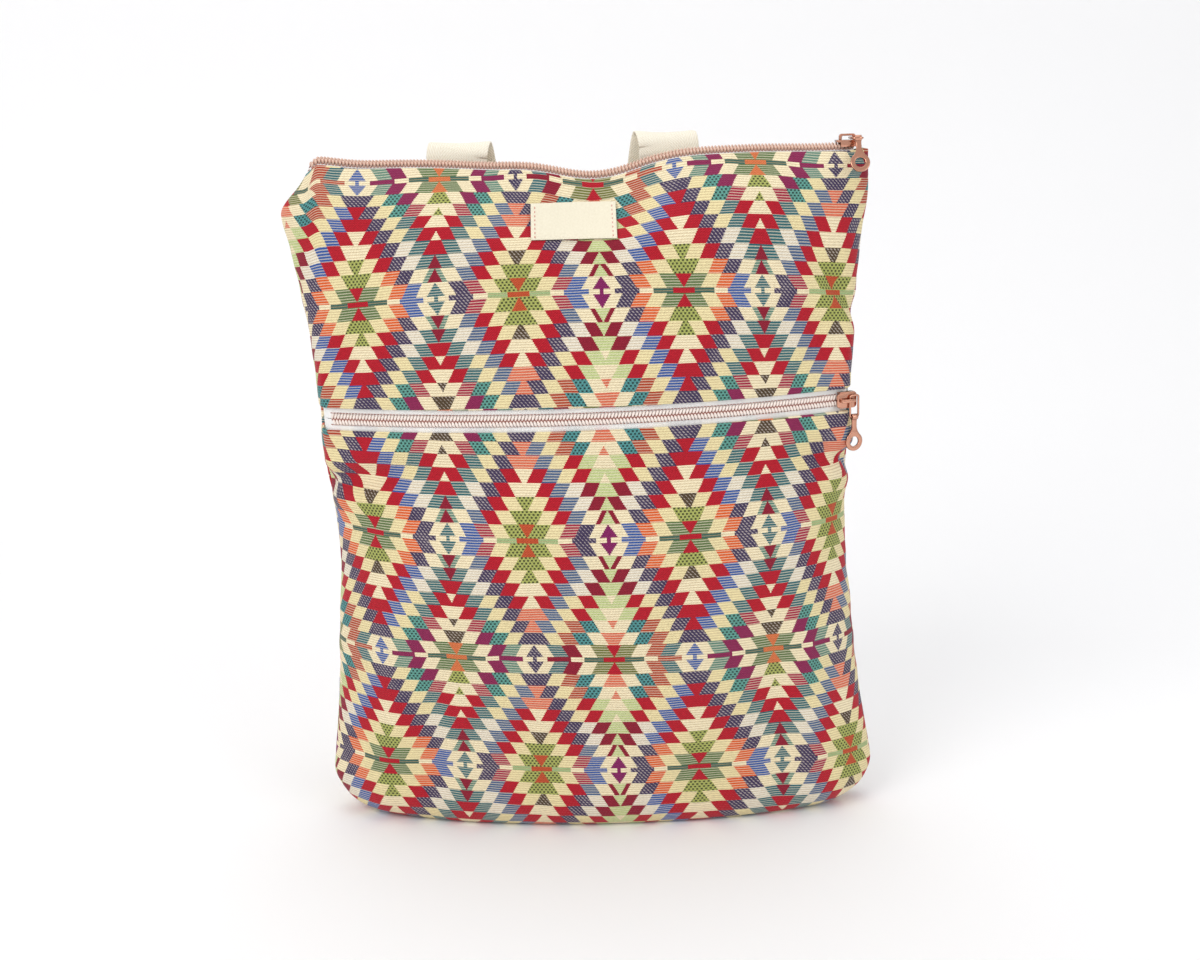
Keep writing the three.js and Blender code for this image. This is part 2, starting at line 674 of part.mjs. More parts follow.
// Pull tab: an eye round the link's outer bar, a neck and a ring end. Its own origin is the eye's axis.
function tabGeometry() {
  const eyeHalf = linkInnerWidth / 2 - tabSideClearance;
  const shape = new THREE.Shape();
  const neckTurn = Math.acos(eyeHalf / tabRingRadius) * tabFlareShare;
  shape.moveTo(-eyeHalf, 0);
  shape.absarc(0, -tabRingDistance, tabRingRadius, Math.PI - neckTurn, neckTurn + 2 * Math.PI, false);
  shape.lineTo(eyeHalf, 0);
  shape.closePath();
  const hole = new THREE.Path();
  hole.absarc(0, -tabRingDistance, tabHoleRadius, 0, 2 * Math.PI, true);
  shape.holes.push(hole);
  const plate = new THREE.ExtrudeGeometry(shape, { depth: tabThickness, bevelEnabled: false, curveSegments: 14 });
  const eye = new THREE.CylinderGeometry(tabEyeRadius, tabEyeRadius, eyeHalf * 2, 14).rotateZ(Math.PI / 2);
  const bore = new THREE.CylinderGeometry(tabEyeBore, tabEyeBore, eyeHalf * 4, 14).rotateZ(Math.PI / 2);
  const body = toSolid(plate.translate(0, 0, -tabThickness / 2)).add(toSolid(eye));
  return toGeometry(body.subtract(toSolid(bore)));
}

// One slider with its link and tab, placed along its zip; hang turns the tab down from the link's plane
function addPull(zipFrame, prefix, place, hangDegrees) {
  const slider = new THREE.Group();
  slider.position.x = place;
  zipFrame.add(slider);
  addPiece(slider, prefix + "_slider", sliderGeometry(), roseGold);
  const link = new THREE.Group();
  link.position.set(archFootSpacing / 2, 0, linkHeight);
  slider.add(link);
  addPiece(link, prefix + "_pull_link", linkGeometry(), roseGold);
  const tab = new THREE.Group();
  tab.position.set(linkSideShift, -linkBarDistance, 0);
  tab.rotation.x = THREE.MathUtils.degToRad(hangDegrees);
  link.add(tab);
  addPiece(tab, prefix + "_pull_tab", tabGeometry(), roseGold);
}
addPull(topZip, "top", topRightEnd - topSliderEndInset, topTabHangDegrees);
const pocketSliderTurn = new THREE.Group();
pocketSliderTurn.rotation.y = placeOnArc(zipArcHalf - pocketSliderEndInset) / tapeArcRadius;
pocketFace.add(pocketSliderTurn);
const pocketSliderSeat = new THREE.Group();
pocketSliderSeat.position.z = tapeArcRadius;
pocketSliderTurn.add(pocketSliderSeat);
addPull(pocketSliderSeat, "pocket", 0, 0);

// Label: a flat cotton strip that follows the front, turned a little
function labelRows() {
  const turn = THREE.MathUtils.degToRad(labelTurnDegrees);
  const middleHeight = bodyHeight - labelDrop;
  const middleX = labelSideShift - lean * middleHeight;
  return evenly(labelHeight / 2, -labelHeight / 2, 4).map((up) => evenly(-0.5, 0.5, 4).map((share) => {
    const along = share * labelWidth;
    const x = middleX + along * Math.cos(turn) - up * Math.sin(turn);
    const height = middleHeight + along * Math.sin(turn) + up * Math.cos(turn);
    const depth = skinDepth(front, x, height) + labelStandOff;
    const z = height + climbAt(height) * x;
    return [new THREE.Vector3(x, -depth - labelThickness, z), new THREE.Vector3(x, -depth, z)];
  }));
}
addPiece(bag, "label", clothSolid(labelRows()), creamCotton);

// Shoulder straps: sewn up the back, folded over above the top edge, hanging behind and sewn on low down.
// The free stretch, in shares of the way out to the lower end, of the inward swing, of the slack behind
// the back and of the body's height.
const strapHang = [
  [0, 0.55, 0.26, 0.968],
  [0.02, 0.95, 0.25, 0.865],
  [0.15, 1, 0.52, 0.697],
  [0.42, 0.64, 0.91, 0.516],
  [0.66, 0.27, 1, 0.374],
  [0.88, 0, 0.6, 0.245],
];
const strapOffset = 4 * touchGap + webbingThickness / 2;

function lowerStrapAcross(side) {
  return side < 0 ? strapLowerAcross : 1 - strapLowerAcross;
}

function strapCentreline(side) {
  const middle = topCentre + strapTopShift + (side * strapTopSpacing) / 2;
  const points = evenly(bodyHeight - strapSewnLength, bodyHeight - strapFoldStart, 5)
    .map((height) => onBack(middle, height, strapOffset));
  const edge = points[points.length - 1];
  const foldZ = bodyHeight + climbAt(bodyHeight) * middle + strapRise - strapFoldRadius;
  evenly(Math.PI, 0, 5).forEach((turn) => points.push(new THREE.Vector3(
    middle - side * strapFoldSwing * (1 - turn / Math.PI),
    edge.y + strapFoldRadius * (1 + Math.cos(turn)),
    foldZ + strapFoldRadius * Math.sin(turn),
  )));
  const lowerPoints = evenly(strapLowerSewnTop, strapLowerSewnEnd, 3).map((height) => (
    insideSkin(back, lowerStrapAcross(side), height - baseCornerHeight, -strapOffset)));
  strapHang.forEach(([out, inwards, behind, up]) => {
    const x = THREE.MathUtils.lerp(middle, lowerPoints[0].x, out) - side * inwards * strapInwardSwing;
    const y = sizeAt(up * bodyHeight, "depth") + behind * strapSlack;
    points.push(new THREE.Vector3(x, y, up * bodyHeight));
  });
  points.push(...lowerPoints);
  return new THREE.CatmullRomCurve3(points, false, "centripetal");
}

// Direction across the back at the height of a place on it
function alongBack(at) {
  const height = at.z - climbAt(at.z) * at.x;
  return onBack(at.x + 1, height, 0).sub(onBack(at.x - 1, height, 0)).normalize();
}

// A flat band along a curve. Its width direction eases from the back's own direction to level,
// and from level to the lower seam's.
const levelStart = 0.08;
const levelEnd = 0.2;
const turnStart = 0.7;
const turnEnd = 0.93;
const level = new THREE.Vector3(1, 0, 0);
function bandRows(curve, width, thickness, steps, lowerWidthway) {
  return evenly(0, 1, steps).map((share) => {
    const at = curve.getPointAt(share);
    const along = curve.getTangentAt(share);
    const widthway = alongBack(at).lerp(level, THREE.MathUtils.smoothstep(share, levelStart, levelEnd));
    widthway.lerp(lowerWidthway, THREE.MathUtils.smoothstep(share, turnStart, turnEnd));
    widthway.addScaledVector(along, -along.dot(widthway)).normalize();
    const outward = along.clone().cross(widthway).normalize();
    return [-0.5, 0.5].map((sideways) => {
      const edge = at.clone().addScaledVector(widthway, width * sideways);
      return [
        edge.clone().addScaledVector(outward, thickness / 2),
        edge.clone().addScaledVector(outward, -thickness / 2),
      ];
    });
  });
}

for (const [side, name] of [[-1, "left_shoulder_strap"], [1, "right_shoulder_strap"]]) {
  const lowerAcross = lowerStrapAcross(side);
  const run = strapLowerSewnTop - baseCornerHeight;
  const lowerWidthway = skinPoint(back, lowerAcross + 0.01, run).sub(skinPoint(back, lowerAcross - 0.01, run));
  const rows = bandRows(strapCentreline(side), webbingWidth, webbingThickness, 44, lowerWidthway.normalize());
  addPiece(bag, name, clothSolid(rows), creamWebbing);
}

export default bag;
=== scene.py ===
import math

import bmesh
import bpy
import numpy as np
from mathutils import Matrix, Vector


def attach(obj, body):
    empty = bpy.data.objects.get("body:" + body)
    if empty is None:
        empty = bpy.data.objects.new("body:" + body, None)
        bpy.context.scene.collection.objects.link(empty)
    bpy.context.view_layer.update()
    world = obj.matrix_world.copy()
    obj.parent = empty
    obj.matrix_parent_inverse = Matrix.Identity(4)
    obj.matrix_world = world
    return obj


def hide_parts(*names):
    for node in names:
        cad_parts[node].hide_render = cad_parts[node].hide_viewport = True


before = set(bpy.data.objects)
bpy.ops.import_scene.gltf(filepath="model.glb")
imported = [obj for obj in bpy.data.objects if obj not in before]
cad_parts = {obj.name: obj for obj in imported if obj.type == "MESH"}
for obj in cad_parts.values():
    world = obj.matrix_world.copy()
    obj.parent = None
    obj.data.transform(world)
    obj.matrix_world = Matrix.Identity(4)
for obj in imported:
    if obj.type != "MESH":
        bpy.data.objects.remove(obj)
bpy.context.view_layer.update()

scene = bpy.context.scene
mm = 0.001

# Camera
cameraView = {
    "place": (-0.0511, -0.8988, 0.430),
    "turn": (75.95, 0, -3),
    "lens": 47.25,
    "sensor": 36,
}
cameraData = bpy.data.cameras.new("camera")
cameraData.lens = cameraView["lens"]
cameraData.sensor_width = cameraView["sensor"]
camera = bpy.data.objects.new("camera", cameraData)
camera.location = cameraView["place"]
camera.rotation_euler = [math.radians(a) for a in cameraView["turn"]]
scene.collection.objects.link(camera)
scene.camera = camera

# Shape of the filled bag in millimetres: half-widths, half-depths and round corners by height
bag = {
    "heights": [28, 100, 180, 235, 269, 348, 369, 390],
    "left": [164.5, 155.5, 149.5, 153.5, 153.5, 162.5, 165.5, 149],
    "right": [164.5, 155.5, 149.5, 153.5, 153.5, 162.5, 165.5, 166],
    "depth": [44, 54, 60, 50, 50, 40, 27, 6.5],
    "corner": [164.5, 155.5, 149.5, 153.5, 153.5, 162.5, 95, 6.5],
    "lean": math.tan(math.radians(2.7)),
    "zipClimb": math.tan(math.radians(1.6)),
    "top": 390,
    "pocketZip": 252,
    "cloth": 2.0,
    "gap": 0.3,
    "cornerHeight": 28,
    "tuckAcross": 36,
    "tuckDeep": 14,
    "seamOffset": 16,
    "seamInset": 4,
    "zipHalfWidth": 153.5,
    "zipSagitta": 28,
    "zipCorner": 7,
}
front, back = -1, 1
waistHeight = 180
zipFlatLow, zipFlatHigh = bag["pocketZip"] - 17, bag["pocketZip"] + 17
shoulderHeight = 348
cornerRun = bag["cornerHeight"] * math.pi / 2
behindCloth = bag["cloth"] + bag["gap"]
zipArcHalf = bag["zipHalfWidth"] - bag["zipCorner"]
zipArcRadius = (zipArcHalf ** 2 + bag["zipSagitta"] ** 2) / (2 * bag["zipSagitta"])
topCentre = -bag["lean"] * bag["top"]
topLeftEnd = topCentre - bag["left"][-1]
topRightEnd = topCentre + bag["right"][-1]


def smoothstep(value, low, high):
    share = np.clip((np.asarray(value, float) - low) / (high - low), 0, 1)
    return share * share * (3 - 2 * share)


def easedSlope(before, after):
    return 0.0 if before * after <= 0 else 2 * before * after / (before + after)


def sizeAt(height, key):
    heights, sizes = bag["heights"], bag[key]
    last = len(heights) - 1
    i = 0
    while i < last - 1 and height > heights[i + 1]:
        i += 1
    span = heights[i + 1] - heights[i]
    t = min(max((height - heights[i]) / span, 0), 1)
    rise = (sizes[i + 1] - sizes[i]) / span
    before = (sizes[i] - sizes[i - 1]) / (heights[i] - heights[i - 1]) if i > 0 else rise
    after = rise
    if i < last - 1:
        after = (sizes[i + 2] - sizes[i + 1]) / (heights[i + 2] - heights[i + 1])
    slopeA, slopeB = easedSlope(before, rise), easedSlope(rise, after)
    t2, t3 = t * t, t * t * t
    return ((2 * t3 - 3 * t2 + 1) * sizes[i] + (t3 - 2 * t2 + t) * span * slopeA
            + (3 * t2 - 2 * t3) * sizes[i + 1] + (t3 - t2) * span * slopeB)


def climbAt(height):
    return bag["zipClimb"] * float(smoothstep(height, 0, waistHeight))


def zipLevelDepth(share):
    out = np.abs(share) * bag["zipHalfWidth"]
    deep = sizeAt(bag["pocketZip"], "depth")
    onArc = 1 - (zipArcRadius - np.sqrt(zipArcRadius ** 2 - np.minimum(out, zipArcHalf) ** 2)) / deep
    inCorner = np.clip((out - zipArcHalf) / bag["zipCorner"], 0, 1)
    return np.where(out <= zipArcHalf, onArc, (1 - bag["zipSagitta"] / deep) * np.sqrt(1 - inCorner ** 2))


def depthAt(side, height, share):
    arc = 0.0
    if side == front:
        arc = float(smoothstep(height, waistHeight, zipFlatLow))
        arc *= 1 - float(smoothstep(height, zipFlatHigh, shoulderHeight))
    widths = np.where(share < 0, sizeAt(height, "left"), sizeAt(height, "right"))
    corner = np.minimum(1, sizeAt(height, "corner") / widths)
    into = np.maximum(0, (np.abs(share) - 1 + corner) / corner)
    rounded = np.sqrt(np.maximum(0, 1 - into * into))
    return rounded * (1 - arc) + zipLevelDepth(share) * arc


sectionSteps = np.sin(math.pi / 2 * np.linspace(-1, 1, 193))
sectionStore = {}


# Section of one side at a way up the wall: places, lengths along it and the length at its middle
def sectionAt(side, run):
    key = (side, round(run, 4))
    if key not in sectionStore:
        turn = max(0.0, -run) / bag["cornerHeight"]
        height = bag["cornerHeight"] + run if run >= 0 else bag["cornerHeight"] * (1 - math.sin(turn))
        tuck = 1 - math.cos(turn)
        wall = max(height, bag["cornerHeight"])
        left = sizeAt(wall, "left") - bag["tuckAcross"] * tuck
        right = sizeAt(wall, "right") - bag["tuckAcross"] * tuck
        depth = sizeAt(wall, "depth") - bag["tuckDeep"] * tuck
        xs = sectionSteps * np.where(sectionSteps < 0, left, right)
        ys = depth * depthAt(side, wall, sectionSteps)
        lengths = np.concatenate([[0], np.cumsum(np.hypot(np.diff(xs), np.diff(ys)))])
        sectionStore[key] = (xs, ys, lengths, np.interp(0, xs, lengths), height)
    return sectionStore[key]


# Points of the outer skin for a row of places across, 0 to 1, at one way up the wall
def skinRow(side, across, run):
    xs, ys, lengths, middle, height = sectionAt(side, run)
    along = np.asarray(across) * lengths[-1]
    x = np.interp(along, lengths, xs) - bag["lean"] * height
    y = side * (np.interp(along, lengths, ys) + bag["gap"] / 2)
    return np.stack([x, y, height + climbAt(height) * x], -1), along - middle


def skinNormals(side, across, run):
    across = np.asarray(across, float)
    step = 0.002
    ahead, behind = np.minimum(across + step, 1), np.maximum(across - step, 0)
    alongX = skinRow(side, ahead, run)[0] - skinRow(side, behind, run)[0]
    alongZ = skinRow(side, across, run + 0.2)[0] - skinRow(side, across, max(run - 0.2, -cornerRun))[0]
    normal = np.cross(alongX, alongZ) * -side
    normal[(across <= 0) | (across >= 1), 1] = 0
    return normal / np.linalg.norm(normal, axis=-1, keepdims=True)


# Soft uneven lie of the cloth: a sum of broad waves with fixed phases
def waves(x, z, seed, lengths):
    random = np.random.default_rng(seed)
    total = np.zeros(np.broadcast(x, z).shape)
    for length in lengths:
        for _ in range(4):
            angle, phase = random.uniform(0, math.pi), random.uniform(0, 2 * math.pi)
            k = 2 * math.pi / length
            total += np.sin(k * (x * math.cos(angle) + z * math.sin(angle)) + phase) * length / lengths[0]
    return total / (4 * len(lengths)) ** 0.5


def bump(x, z, place, size, turn=0.0):
    c, s = math.cos(math.radians(turn)), math.sin(math.radians(turn))
    dx, dz = x - place[0], z - place[1]
    a, b = (dx * c + dz * s) / size[0], (-dx * s + dz * c) / size[1]
    return np.exp(-0.5 * (a * a + b * b))


# Folds pressed into the front: place, reach along and across in millimetres, turn in degrees, depth
frontFolds = [
    [(-141, 214), (26, 5), 12, -5.0], [(-136, 203), (22, 5), 8, 2.6], [(-141, 226), (20, 4), 20, 2.4],
    [(132, 222), (24, 5), -16, -5.0], [(130, 209), (24, 6), -10, 2.4], [(133, 233), (18, 4), -24, 2.2],
    [(-10, 372), (34, 9), 0, -3.2], [(-128, 60), (9, 46), -6, 2.4], [(-104, 66), (8, 50), -4, -2.2],
    [(120, 70), (9, 50), 8, 2.2], [(98, 72), (8, 46), 6, -2.0], [(-60, 214), (60, 8), 2, -1.6],
    [(60, 216), (64, 8), -2, -1.6], [(-120, 300), (8, 34), 8, -1.4], [(118, 300), (8, 34), -8, -1.6],
    [(-66, 362), (26, 8), -10, -1.4], [(70, 364), (34, 7), 6, -1.4],
    [(133, 315), (20, 4), -52, -3.4], [(127, 309), (18, 5), -52, 2.0], [(-146, 284), (18, 4), 62, -2.4],
]


def clothLift(side, points, seamShare, edgeShare):
    x, z = points[..., 0], points[..., 2]
    lift = 1.1 * waves(x, z, 11 + side, [130, 62]) + 0.28 * waves(x, z, 29 + side, [26, 17])
    if side == front:
        for place, size, turn, depth in frontFolds:
            lift = lift + depth * bump(x, z, place, size, turn)
    pucker = np.sin(z / 5.3 + 1.7 * np.sin(z / 17)) * np.exp(-seamShare / 9)
    return (lift + 0.55 * pucker) * np.minimum(1, seamShare / 7) ** 0.7 * edgeShare


# The top edge sags in the middle and stands a little higher over its left half: place, reach and rise of its waves
topWaves = [(-6, 22, -11.4), (20, 70, -1.4), (-62, 22, -2.0), (-158, 10, 2.2)]


def topSag(x, height):
    dip = sum(rise * np.exp(-0.5 * ((x - place) / reach) ** 2) for place, reach, rise in topWaves)
    leftCorner = -5 * smoothstep(-x, 160, 169)
    leftHalf = -1.5 * (1 - smoothstep(x, -70, -30)) * smoothstep(x, -172, -150)
    rightHalf = 1.9 * smoothstep(x, -40, 0) * (1 - 0.6 * smoothstep(x, 80, 125))
    return (dip + leftCorner + leftHalf + rightHalf) * smoothstep(height, 318, 386)


def addObject(name, mesh):
    made = bpy.data.objects.new(name, mesh)
    scene.collection.objects.link(made)
    return made


def smoothFaces(mesh):
    mesh.polygons.foreach_set("use_smooth", [True] * len(mesh.polygons))


def makeObject(name, points, faces, material, patternAt):
    mesh = bpy.data.meshes.new(name)
    mesh.from_pydata((np.asarray(points) * mm).tolist(), [], faces)
    layer = mesh.uv_layers.new(name="cloth")
    corner = np.zeros(len(mesh.loops), np.int32)
    mesh.loops.foreach_get("vertex_index", corner)
    layer.data.foreach_set("uv", (patternAt[corner] * mm).ravel())
    mesh.materials.append(material)
    turnOutwards(mesh)
    smoothFaces(mesh)
    mesh.update()
    return addObject(name, mesh)


def turnOutwards(mesh):
    worker = bmesh.new()
    worker.from_mesh(mesh)
    bmesh.ops.recalc_face_normals(worker, faces=worker.faces)
    worker.to_mesh(mesh)
    worker.free()


def flatRow(along, up):
    return np.stack([along, np.full_like(along, up)], -1)


# Width, length and area in metres that a grid of places on the flat cloth covers
def cutSize(flatAt):
    start = flatAt[:-1, :-1]
    rise, run = flatAt[1:, :-1] - start, flatAt[:-1, 1:] - start
    area = np.abs(rise[..., 0] * run[..., 1] - rise[..., 1] * run[..., 0]).sum() * mm * mm
    width, length = np.ptp(flatAt.reshape(-1, 2), axis=0) * mm
    return float(width), float(length), float(area)


# A closed sheet from two grids of points, outer and inner, of the same size. flatAt says where they
# lie on the flat cloth, and pull moves those places to where the woven pattern has them.
def sheetObject(name, outer, inner, material, flatAt, pull=None):
    outer, inner, flatAt = np.array(outer), np.array(inner), np.array(flatAt)
    high, wide = outer.shape[:2]
    count = high * wide
    at = np.arange(count).reshape(high, wide)
    a, b, c, d = at[:-1, :-1], at[1:, :-1], at[1:, 1:], at[:-1, 1:]
    faces = np.stack([a, b, c, d], -1).reshape(-1, 4).tolist()
    faces += (np.stack([a, d, c, b], -1).reshape(-1, 4) + count).tolist()
    loop = np.concatenate([at[0, :], at[1:, -1], at[-1, -2::-1], at[-2:0:-1, 0]])
    after = np.roll(loop, -1)
    faces += np.stack([loop, after, after + count, loop + count], -1).tolist()
    points = np.concatenate([outer.reshape(-1, 3), inner.reshape(-1, 3)])
    cutSize(flatAt)
    patternAt = np.stack(pull(flatAt[..., 0], flatAt[..., 1]), -1) if pull else flatAt
    return makeObject(name, points, faces, material, np.tile(patternAt.reshape(-1, 2), (2, 1)))


# Distances that start fine at both ends, for folded and sewn edges
def edgeSpaced(low, high, step, fine=(0, 0.18, 0.45, 0.8, 1.3, 2.0, 3.0)):
    fine = np.array(fine)
    middle = np.linspace(low + fine[-1], high - fine[-1], max(2, int((high - low - 2 * fine[-1]) / step) + 1))
    return np.concatenate([low + fine[:-1], middle, (high - fine[:-1])[::-1]])


def roundedInset(distance, radius):
    near = np.clip(radius - distance, 0, radius)
    return radius - np.sqrt(radius ** 2 - near ** 2)


# Length along the wall at the middle of a side, for the pattern's height
meridianRuns = np.linspace(-cornerRun, bag["top"] - bag["cornerHeight"], 500)
meridianLengths = {}
for side in (front, back):
    places = np.array([skinRow(side, [0.5], run)[0][0] for run in meridianRuns])[:, 1:]
    meridianLengths[side] = np.append(0, np.cumsum(np.linalg.norm(np.diff(places, axis=0), axis=1)))


def clothHeight(side, run):
    return np.interp(run, meridianRuns, meridianLengths[side])


# Where the woven pattern lies on the upper front: its rows droop at both sides and run unevenly at the top
def pullUpper(along, up):
    low = 3.7e-4 * (along - 30) ** 2 * (0.6 + 0.4 * smoothstep(up, 262, 330))
    high = np.interp(along, [-170, -100, -60, -15, 85, 170], [9, 3.4, 0, -4.5, -4.7, -1])
    share = smoothstep(up, 335, 400)
    return along - 5.5 * share * smoothstep(-along, 0, 80), up + low * (1 - share) + high * share


# Where it lies on the lower front: its columns spread toward the right
def pullLower(along, up):
    spread = 3.5 + 6.5 * (1 - smoothstep(up, 40, 150))
    return along - spread * smoothstep(along, 20, 120), up


# One cloth panel of the bag: rows from its top edge down, optionally round the corner and under the base
panel = {"across": 345, "sideFold": 1.9, "lowFold": 1.4, "edgeLift": 1.3, "edgeFade": 12, "baseRows": 15}


def clothPanel(name, side, topHeight, lowHeight, material, step, pull=None):
    cloth, corner = bag["cloth"], bag["cornerHeight"]
    across = edgeSpaced(0, panel["across"], step) / panel["across"]
    withBase = lowHeight <= corner
    runs = edgeSpaced(0, topHeight - lowHeight, step)
    if withBase:
        runs = (topHeight - corner) - runs[: len(runs) - 7]
        runs = np.concatenate([runs, np.linspace(runs[-1], -cornerRun, int((runs[-1] + cornerRun) / step) + 2)[1:]])
    else:
        runs = runs[::-1] + lowHeight - corner
    outer, inner, flatAt = [], [], []
    for run in runs:
        at, along = skinRow(side, across, run)
        normal = skinNormals(side, across, run)
        height = corner + run
        seam = np.minimum(across, 1 - across) * sectionAt(side, run)[2][-1]
        toEdge = max(0, topHeight - height if withBase else min(topHeight - height, height - lowHeight))
        baseFade = float(smoothstep(run, -cornerRun, -6))
        lift = clothLift(side, at, seam, min(1, toEdge / panel["edgeFade"]) ** 0.8 * baseFade)
        hem = roundedInset(toEdge, cloth / 2)
        fold = np.maximum(roundedInset(seam, panel["sideFold"]), hem)
        sag = np.zeros_like(at)
        sag[:, 2] = topSag(at[:, 0], height) + panel["edgeLift"] * float(smoothstep(height, bag["top"] - 7, bag["top"]))
        outer.append(at + sag + normal * (lift - fold)[:, None])
        inner.append(at + sag + normal * (lift - cloth + min(hem, cloth / 2))[:, None])
        flatAt.append(flatRow(along, clothHeight(side, run)))
    if withBase:
        ring, along = skinRow(side, across, -cornerRun)
        low = flatAt[-1][0, 1]
        reach = bag["left"][0] - bag["tuckAcross"]
        seamX = ring[:, 0] * (1 - bag["seamInset"] / reach)
        bow = 1 - (ring[:, 0] / reach) ** 2
        seamLine = np.stack([seamX, bag["seamOffset"] * bow + side * bag["gap"] / 2, 0 * bow], -1)
        toSeam = np.linalg.norm(ring - seamLine, axis=1)
        for share in np.linspace(0, 1, panel["baseRows"] + 1)[1:]:
            flat = ring * (1 - share) + seamLine * share
            flat[:, 2] = 0
            fold = roundedInset((1 - share) * toSeam, panel["lowFold"])
            outer.append(flat + np.array([0, 0, 1.0]) * fold[:, None])
            inner.append(flat + np.array([0, 0, cloth]))
            flatAt.append(np.stack([along, low - toSeam * share], -1))
    return sheetObject(name, outer, inner, material, flatAt, pull)


# A node socket that takes part in plain sums
class Value:
    def __init__(self, net, socket):
        self.net, self.socket = net, socket

    def __add__(self, other):
        return self.net.sum("ADD", self, other)

    def __radd__(self, other):
        return self.net.sum("ADD", other, self)

    def __sub__(self, other):
        return self.net.sum("SUBTRACT", self, other)

    def __rsub__(self, other):
        return self.net.sum("SUBTRACT", other, self)

    def __mul__(self, other):
        return self.net.sum("MULTIPLY", self, other)

    def __truediv__(self, other):
        return self.net.sum("DIVIDE", self, other)

    def __mod__(self, other):
        return self.net.sum("FLOORED_MODULO", self, other)

    def __lt__(self, other):
        return self.net.sum("LESS_THAN", self, other)

    def __gt__(self, other):
        return self.net.sum("GREATER_THAN", self, other)


# Nodes of one tree
class Net:
    def __init__(self, tree):
        self.tree = tree

    def node(self, kind, **settings):
        made = self.tree.nodes.new(kind)
        for key, value in settings.items():
            setattr(made, key, value)
        return made

    def plug(self, socket, value):
        value = value.socket if isinstance(value, Value) else value
        if isinstance(value, bpy.types.NodeSocket):
            self.tree.links.new(value, socket)
        elif socket.type == "RGBA":
            socket.default_value = (*value[:3], 1)
        else:
            socket.default_value = value

    def sum(self, operation, *values):
        made = self.node("ShaderNodeMath", operation=operation)
        for socket, value in zip(made.inputs, values):
            self.plug(socket, value)
        return Value(self, made.outputs[0])

    def floor(self, a):
        return self.sum("FLOOR", a)

    def sine(self, a):
        return self.sum("SINE", a)

    def most(self, a, b):
        return self.sum("MAXIMUM", a, b)

    def within(self, a, low, high):
        return self.sum("MINIMUM", self.most(a, low), high)

    def near(self, a, b):
        return self.sum("COMPARE", a, b, 0.1)

    def mixNode(self, kind, share, firstInput, a, b):
        made = self.node("ShaderNodeMix", data_type=kind)
        for place, value in ((0, share), (firstInput, a), (firstInput + 1, b)):
            self.plug(made.inputs[place], value)
        return made

    def mix(self, share, a, b):
        return Value(self, self.mixNode("FLOAT", share, 2, a, b).outputs[0])

    def mixColour(self, share, a, b):
        return self.mixNode("RGBA", share, 6, a, b).outputs[2]

    # Even steps of yarns, as a colour and a weave
    def yarnRamp(self, share, names):
        made = self.node("ShaderNodeValToRGB")
        self.plug(made.inputs[0], share)
        made.color_ramp.interpolation = "CONSTANT"
        elements = made.color_ramp.elements
        elements.remove(elements[-1])
        elements[0].position, elements[0].color = 0, yarnStop(names[0])
        for i, name in enumerate(names[1:], 1):
            elements.new(i / len(names)).color = yarnStop(name)
        return made.outputs[0], Value(self, made.outputs[1])

    def noise(self, vector, scale, detail):
        made = self.node("ShaderNodeTexNoise")
        self.plug(made.inputs["Vector"], vector)
        setInputs(made, {"Scale": scale, "Detail": detail})
        return Value(self, made.outputs[0])

    # Places on the cloth in millimetres, along and up
    def clothPlace(self, vector):
        apart = self.node("ShaderNodeSeparateXYZ")
        self.plug(apart.inputs[0], vector)
        return [Value(self, apart.outputs[i]) * 1000 for i in (0, 1)]


def setInputs(node, values):
    for name, value in values.items():
        node.inputs[name].default_value = value


def linear(colour):
    made = [c / 255 for c in colour]
    return tuple(c / 12.92 if c <= 0.04045 else ((c + 0.055) / 1.055) ** 2.4 for c in made)


# Group that turns places on the cloth into a colour and a height
def shaderGroup(name, inputs):
    tree = bpy.data.node_groups.new(name, "ShaderNodeTree")
    tree.interface.new_socket("Cloth", in_out="INPUT", socket_type="NodeSocketVector")
    for label, kind, value in inputs:
        tree.interface.new_socket(label, in_out="INPUT", socket_type=kind).default_value = value
    tree.interface.new_socket("Color", in_out="OUTPUT", socket_type="NodeSocketColor")
    tree.interface.new_socket("Height", in_out="OUTPUT", socket_type="NodeSocketFloat")
    net = Net(tree)
    return tree, net, net.node("NodeGroupInput").outputs, net.node("NodeGroupOutput").inputs


# Yarns of the tapestry: colour and weave. 0 is plain, 1 striped, 2 dotted, 3 specked and 4 twilled.
yarns = {
    "cream": ((246, 232, 196), 0), "paleYellow": ((240, 225, 174), 0), "offWhite": ((236, 228, 210), 0),
    "crimson": ((188, 24, 42), 4), "darkRed": ((146, 28, 50), 4), "redOrange": ((198, 84, 48), 4),
    "tealStripe": ((42, 100, 108), 1), "tealDots": ((84, 150, 150), 2), "mintStripe": ((96, 136, 118), 1),
    "mintDots": ((98, 160, 148), 2), "blueStripe": ((48, 86, 160), 1), "greyBlue": ((68, 94, 134), 1),
    "navy": ((66, 54, 86), 3), "orangeStripe": ((226, 92, 26), 1), "salmonStripe": ((224, 106, 74), 1),
    "pinkStripe": ((166, 24, 60), 1), "rustStripe": ((178, 62, 30), 1), "plum": ((142, 40, 86), 4),
    "orange": ((222, 122, 72), 4), "magenta": ((134, 34, 98), 4), "greenDots": ((172, 178, 98), 2),
    "sageStripe": ((92, 116, 66), 1), "olive": ((112, 116, 52), 1), "brown": ((80, 64, 44), 3),
    "paleGreen": ((196, 208, 140), 1), "lightGreen": ((160, 184, 130), 0), "deepTeal": ((58, 96, 86), 0),
}


def yarnStop(name):
    colour, weave = yarns[name]
    return (*linear(colour), weave / 4)


